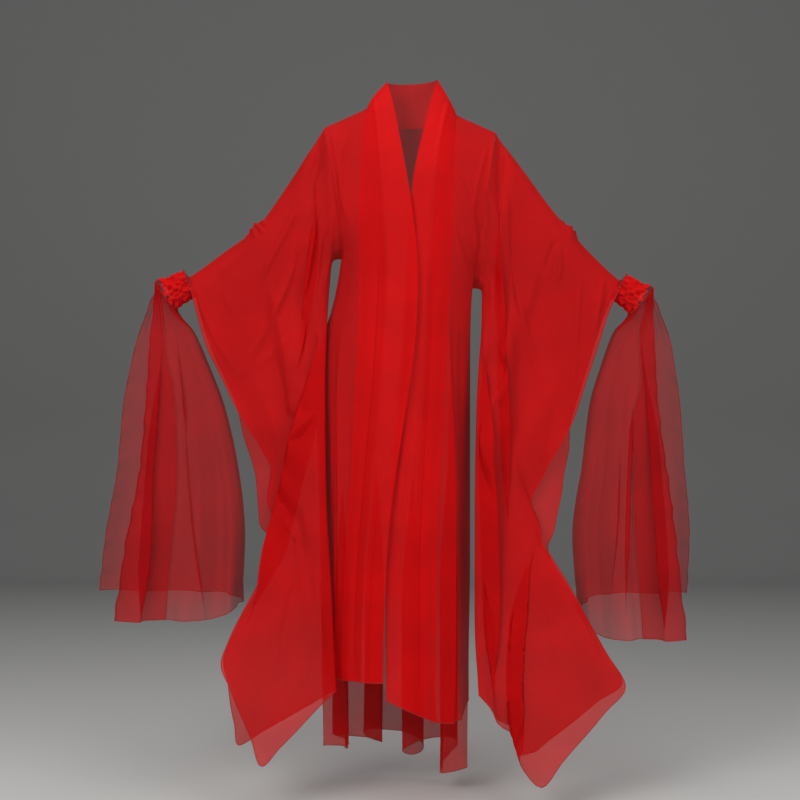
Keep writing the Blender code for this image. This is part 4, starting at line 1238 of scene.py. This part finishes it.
def forms():
    """The fine points of every cloth piece, with its folds."""
    if FORMS:
        return FORMS
    depth = bpy.context.scene.robe.fold_depth
    back = back_grid()
    FORMS["back"] = back_form(back, depth)
    for name, s in SIDES.items():
        front = front_grid(s["side"], s["collar"], s["hem"], s["folds"])
        collar = collar_grid(s["side"], s["collar"], back[0], [row[0] for row in front])
        armhole = armhole_ring(front, back, s["armhole_column"], sum(STATION_STEPS))
        FORMS["front_" + name], band = front_form(front, collar, s, depth)
        FORMS["collar_" + name] = band_form(band, s, depth)
        FORMS["sleeve_" + name] = sleeve_form(armhole, s, depth)
        FORMS["water_sleeve_" + name] = cuff_form(s, depth)
        FORMS["wrist_ruffle_" + name] = frill(s["wrist"])
    return FORMS


# What a user may change
class RobeSettings(bpy.types.PropertyGroup):
    chiffon_cover: bpy.props.FloatProperty(
        name="Chiffon cover", description="How much one layer of the robe's chiffon hides",
        default=0.80, min=0, max=1, subtype="FACTOR")
    band_cover: bpy.props.FloatProperty(
        name="Band cover", description="How much the doubled collar band hides",
        default=0.85, min=0, max=1, subtype="FACTOR")
    organza_cover: bpy.props.FloatProperty(
        name="Organza cover", description="How much one layer of the cuff pieces hides",
        default=0.60, min=0, max=1, subtype="FACTOR")
    fold_depth: bpy.props.FloatProperty(
        name="Fold depth", description="Strength of the fine folds, where 1 is as modelled",
        default=1.0, min=0, max=2, subtype="FACTOR")
    edge_radius: bpy.props.FloatProperty(
        name="Rolled edge", description="Radius of the rolled edge along every hem",
        default=0.0008, min=0.0002, unit="LENGTH", subtype="DISTANCE")
    stitch_length: bpy.props.FloatProperty(
        name="Stitch", description="Length of one stitch of the seams",
        default=0.0026, min=0.001, unit="LENGTH", subtype="DISTANCE")
    stitch_step: bpy.props.FloatProperty(
        name="Stitch step", description="Distance from one stitch to the next",
        default=0.0038, min=0.001, unit="LENGTH", subtype="DISTANCE")


# The sheets, with the size of each laid flat in metres
SHEETS = table("group node finish slot width length held ring flip", [
    ("body", "back", "Chiffon", "chiffon", 0.56, 1.56, "draped", False, True),
    ("body", "front_right", "Chiffon", "chiffon", 0.20, 1.36, "draped", False, True),
    ("body", "front_left", "Chiffon", "chiffon", 0.20, 1.44, "draped", False, False),
    ("band", "collar_right", "Chiffon band", "band", 0.13, 1.60, "draped", False, False),
    ("band", "collar_left", "Chiffon band", "band", 0.13, 1.60, "draped", False, True),
    ("sleeves", "sleeve_right", "Chiffon", "chiffon", 0.62, 2.20, "draped", True, False),
    ("sleeves", "sleeve_left", "Chiffon", "chiffon", 0.62, 2.20, "draped", True, True),
    ("frills", "wrist_ruffle_right", "Chiffon band", "band", 0.10, 0.45, "gathered", True, True),
    ("frills", "wrist_ruffle_left", "Chiffon band", "band", 0.10, 0.45, "gathered", True, False),
    ("cuffs", "water_sleeve_right", "Organza", "sheer", 0.80, 0.80, "gathered", False, True),
    ("cuffs", "water_sleeve_left", "Organza", "sheer", 0.80, 0.80, "gathered", False, False),
])


def dress(group):
    """Makes the sheets of one group, each in place of its solid."""
    for s in (s for s in SHEETS if s["group"] == group):
        piece = sheet_object(s["node"] + "_sheet", forms()[s["node"]], finishes()[s["finish"]],
                             s["ring"], s["flip"])
        wear(piece, s["node"])
    return {"FINISHED"}


class ROBE_OT_body(bpy.types.Operator):
    """Back and fronts, each one sheet from the shoulder to the hem"""
    bl_idname = "robe.body"
    bl_label = "Back and fronts"

    def execute(self, context):
        return dress("body")


class ROBE_OT_band(bpy.types.Operator):
    """The long collar band, in two halves that meet behind the neck"""
    bl_idname = "robe.band"
    bl_label = "Collar band"

    def execute(self, context):
        return dress("band")


class ROBE_OT_sleeves(bpy.types.Operator):
    """Wide sleeves, each one sheet all round"""
    bl_idname = "robe.sleeves"
    bl_label = "Sleeves"

    def execute(self, context):
        return dress("sleeves")


class ROBE_OT_cuff_pieces(bpy.types.Operator):
    """Hanging cuff pieces, gathered at the wrist, with the front edge turned back"""
    bl_idname = "robe.cuff_pieces"
    bl_label = "Cuff pieces"

    def execute(self, context):
        return dress("cuffs")


class ROBE_OT_frills(bpy.types.Operator):
    """Gathered wrist bands"""
    bl_idname = "robe.frills"
    bl_label = "Wrist frills"

    def execute(self, context):
        return dress("frills")


# Edges and stitches, in metres; only the lift off the sheet is in millimetres
EDGE_STEP, STITCH_RADIUS = 0.005, 0.0003
STITCH_LIFT = 0.6
# Columns and rows of the sheets that the stitches follow
BAND_SEAM_COLUMN, ARMHOLE_SEAM_ROW, SHOULDER_SEAM_ROW = 5, 9, 4


class ROBE_OT_edges(bpy.types.Operator):
    """Rolled edges along the hems, cuffs and free edges"""
    bl_idname = "robe.edges"
    bl_label = "Rolled edges"

    def execute(self, context):
        s = context.scene.robe
        f = forms()
        tree = rolled_edge_tree()
        values = {"Step": EDGE_STEP, "Radius": s.edge_radius, "Material": finishes()["Rolled edge"]}
        turned = TURNED_BACK["columns"] - TURNED_BACK["from"]
        groups = {
            "hem_edges": [(f[name][-1], False) for name in ("back", "front_right", "front_left",
                                                            "collar_right", "collar_left")],
            "sleeve_edges": [(f[name][-1], True) for name in ("sleeve_right", "sleeve_left")],
            "cuff_piece_edges": [(line, False) for name in ("water_sleeve_right", "water_sleeve_left")
                                 for line in (f[name][-1], f[name][:, 0], f[name][:, -1],
                                              f[name][:, -1 - turned])],
            "frill_edges": [(f[name][row], True) for name in ("wrist_ruffle_right", "wrist_ruffle_left")
                            for row in (0, -1)],
        }
        for name, paths in groups.items():
            along_paths(name, tree, paths, values)
        return {"FINISHED"}


class ROBE_OT_seams(bpy.types.Operator):
    """Stitches along the band, shoulder and armhole seams"""
    bl_idname = "robe.seams"
    bl_label = "Seam stitches"

    def execute(self, context):
        s = context.scene.robe
        f = forms()
        band, armhole = np.s_[:, BAND_SEAM_COLUMN], np.s_[ARMHOLE_SEAM_ROW]
        shoulder = np.s_[SHOULDER_SEAM_ROW, len(UNDER_BAND):]
        paths = [(f[name][at] + out_of(f[name], sign, ring)[at] * STITCH_LIFT, ring)
                 for name, sign, ring, at in (
                     ("collar_right", 1, False, band), ("collar_left", -1, False, band),
                     ("sleeve_right", 1, True, armhole), ("sleeve_left", -1, True, armhole),
                     ("front_right", -1, False, shoulder), ("front_left", 1, False, shoulder))]
        values = {"Step": s.stitch_step, "Length": s.stitch_length, "Radius": STITCH_RADIUS,
                  "Material": finishes()["Sewing thread"]}
        along_paths("seam_stitches", stitch_tree(), paths, values)
        return {"FINISHED"}


# Studio, in metres
VIEW_DISTANCE, VIEW_X, VIEW_DOWN, VIEW_LENS = 3.2, -0.018, 0.648, 64
FLOOR_DOWN = 1.535
# Painted shade: the sweep is pale in front and grows grey behind, between these places, standing in for the
# lamps' light falling off towards the back
SHADE_FROM, SHADE_TO = 0.0, 4.3
SWEEP_FRONT, SWEEP_START, SWEEP_RADIUS, SWEEP_TOP, SWEEP_HALF = -4.5, 3.7, 0.8, 3.4, 5.0
SWEEP_STEPS = 24
LAMPS = [("key", (-1.9, -3.0, 1.3), 1.8, 66), ("fill", (2.3, -2.8, 0.3), 2.2, 40),
         ("top", (0.0, -0.6, 2.2), 2.4, 32)]
LAMPS_AIM = (0, 0, -0.6)
SURROUND_STRENGTH = 0.42


class ROBE_OT_stage(bpy.types.Operator):
    """Pale floor that sweeps up behind, with painted shade that greys it towards the back, soft lights and
    the camera
    """
    bl_idname = "robe.stage"
    bl_label = "Stage"

    def execute(self, context):
        scene = context.scene
        camera = bpy.data.objects.new("camera", bpy.data.cameras.new("camera"))
        camera.data.lens = VIEW_LENS
        camera.location = (VIEW_X, -VIEW_DISTANCE, -VIEW_DOWN)
        camera.rotation_euler = (math.pi / 2, 0, 0)
        scene.collection.objects.link(camera)
        scene.camera = camera
        profile = [(SWEEP_FRONT, 0.0), (SWEEP_START, 0.0)]
        for k in range(1, SWEEP_STEPS + 1):
            turn = math.pi / 2 * k / SWEEP_STEPS
            profile.append((SWEEP_START + SWEEP_RADIUS * math.sin(turn),
                            SWEEP_RADIUS * (1 - math.cos(turn))))
        profile.append((SWEEP_START + SWEEP_RADIUS, SWEEP_TOP + FLOOR_DOWN))
        verts = [(x, y, z - FLOOR_DOWN) for y, z in profile for x in (-SWEEP_HALF, SWEEP_HALF)]
        faces = [(2 * k, 2 * k + 1, 2 * k + 3, 2 * k + 2) for k in range(len(profile) - 1)]
        mesh = bpy.data.meshes.new("sweep")
        mesh.from_pydata(verts, [], faces)
        mesh.shade_smooth()
        # Painted shade: the sweep's colour darkens from pale in front to grey behind, standing in for the
        # light falling off away from the lamps
        material, tree, shader = blank("Painted studio sweep")
        where = add(tree, "ShaderNodeTexCoord")
        parts = add(tree, "ShaderNodeSeparateXYZ", links={0: (where, "Object")})
        depth = add(tree, "ShaderNodeMapRange", {"From Min": SHADE_FROM, "From Max": SHADE_TO},
                    {"Value": (parts, "Y")})
        blend(tree, depth, "D8D6D2", "888785", shader)
        shader.inputs["Roughness"].default_value = 0.9
        mesh.materials.append(material)
        sweep = bpy.data.objects.new("sweep", mesh)
        scene.collection.objects.link(sweep)
        for name, place, size, power in LAMPS:
            data = bpy.data.lights.new(name, "AREA")
            data.shape, data.size, data.energy = "SQUARE", size, power
            lamp = bpy.data.objects.new(name, data)
            lamp.location = place
            aim = Vector(LAMPS_AIM) - Vector(place)
            lamp.rotation_euler = aim.to_track_quat("-Z", "Y").to_euler()
            scene.collection.objects.link(lamp)
        world = bpy.data.worlds.new("studio")
        world.use_nodes = True
        surround = world.node_tree.nodes["Background"]
        surround.inputs["Color"].default_value = linear("C9CCD0")
        surround.inputs["Strength"].default_value = SURROUND_STRENGTH
        scene.world = world
        scene.view_settings.view_transform = "Standard"
        scene.cycles.transparent_max_bounces = 32
        return {"FINISHED"}


class ROBE_PT_panel(bpy.types.Panel):
    """The robe's settings and pieces"""
    bl_idname = "ROBE_PT_panel"
    bl_label = "Robe"
    bl_space_type = "VIEW_3D"
    bl_region_type = "UI"
    bl_category = "Robe"

    def draw(self, context):
        for name in RobeSettings.__annotations__:
            self.layout.prop(context.scene.robe, name)
        for operator in OPERATORS:
            self.layout.operator(operator.bl_idname)


OPERATORS = (ROBE_OT_stage, ROBE_OT_body, ROBE_OT_band, ROBE_OT_sleeves, ROBE_OT_frills,
             ROBE_OT_cuff_pieces, ROBE_OT_edges, ROBE_OT_seams)
CLASSES = (RobeSettings, ROBE_PT_panel) + OPERATORS


def register():
    for item in CLASSES:
        bpy.utils.register_class(item)
    bpy.types.Scene.robe = bpy.props.PointerProperty(type=RobeSettings)


def unregister():
    del bpy.types.Scene.robe
    for item in reversed(CLASSES):
        bpy.utils.unregister_class(item)


def main():
    register()
    for operator in OPERATORS:
        group, name = operator.bl_idname.split(".")
        getattr(getattr(bpy.ops, group), name)()


if __name__ == "__main__":
    main()
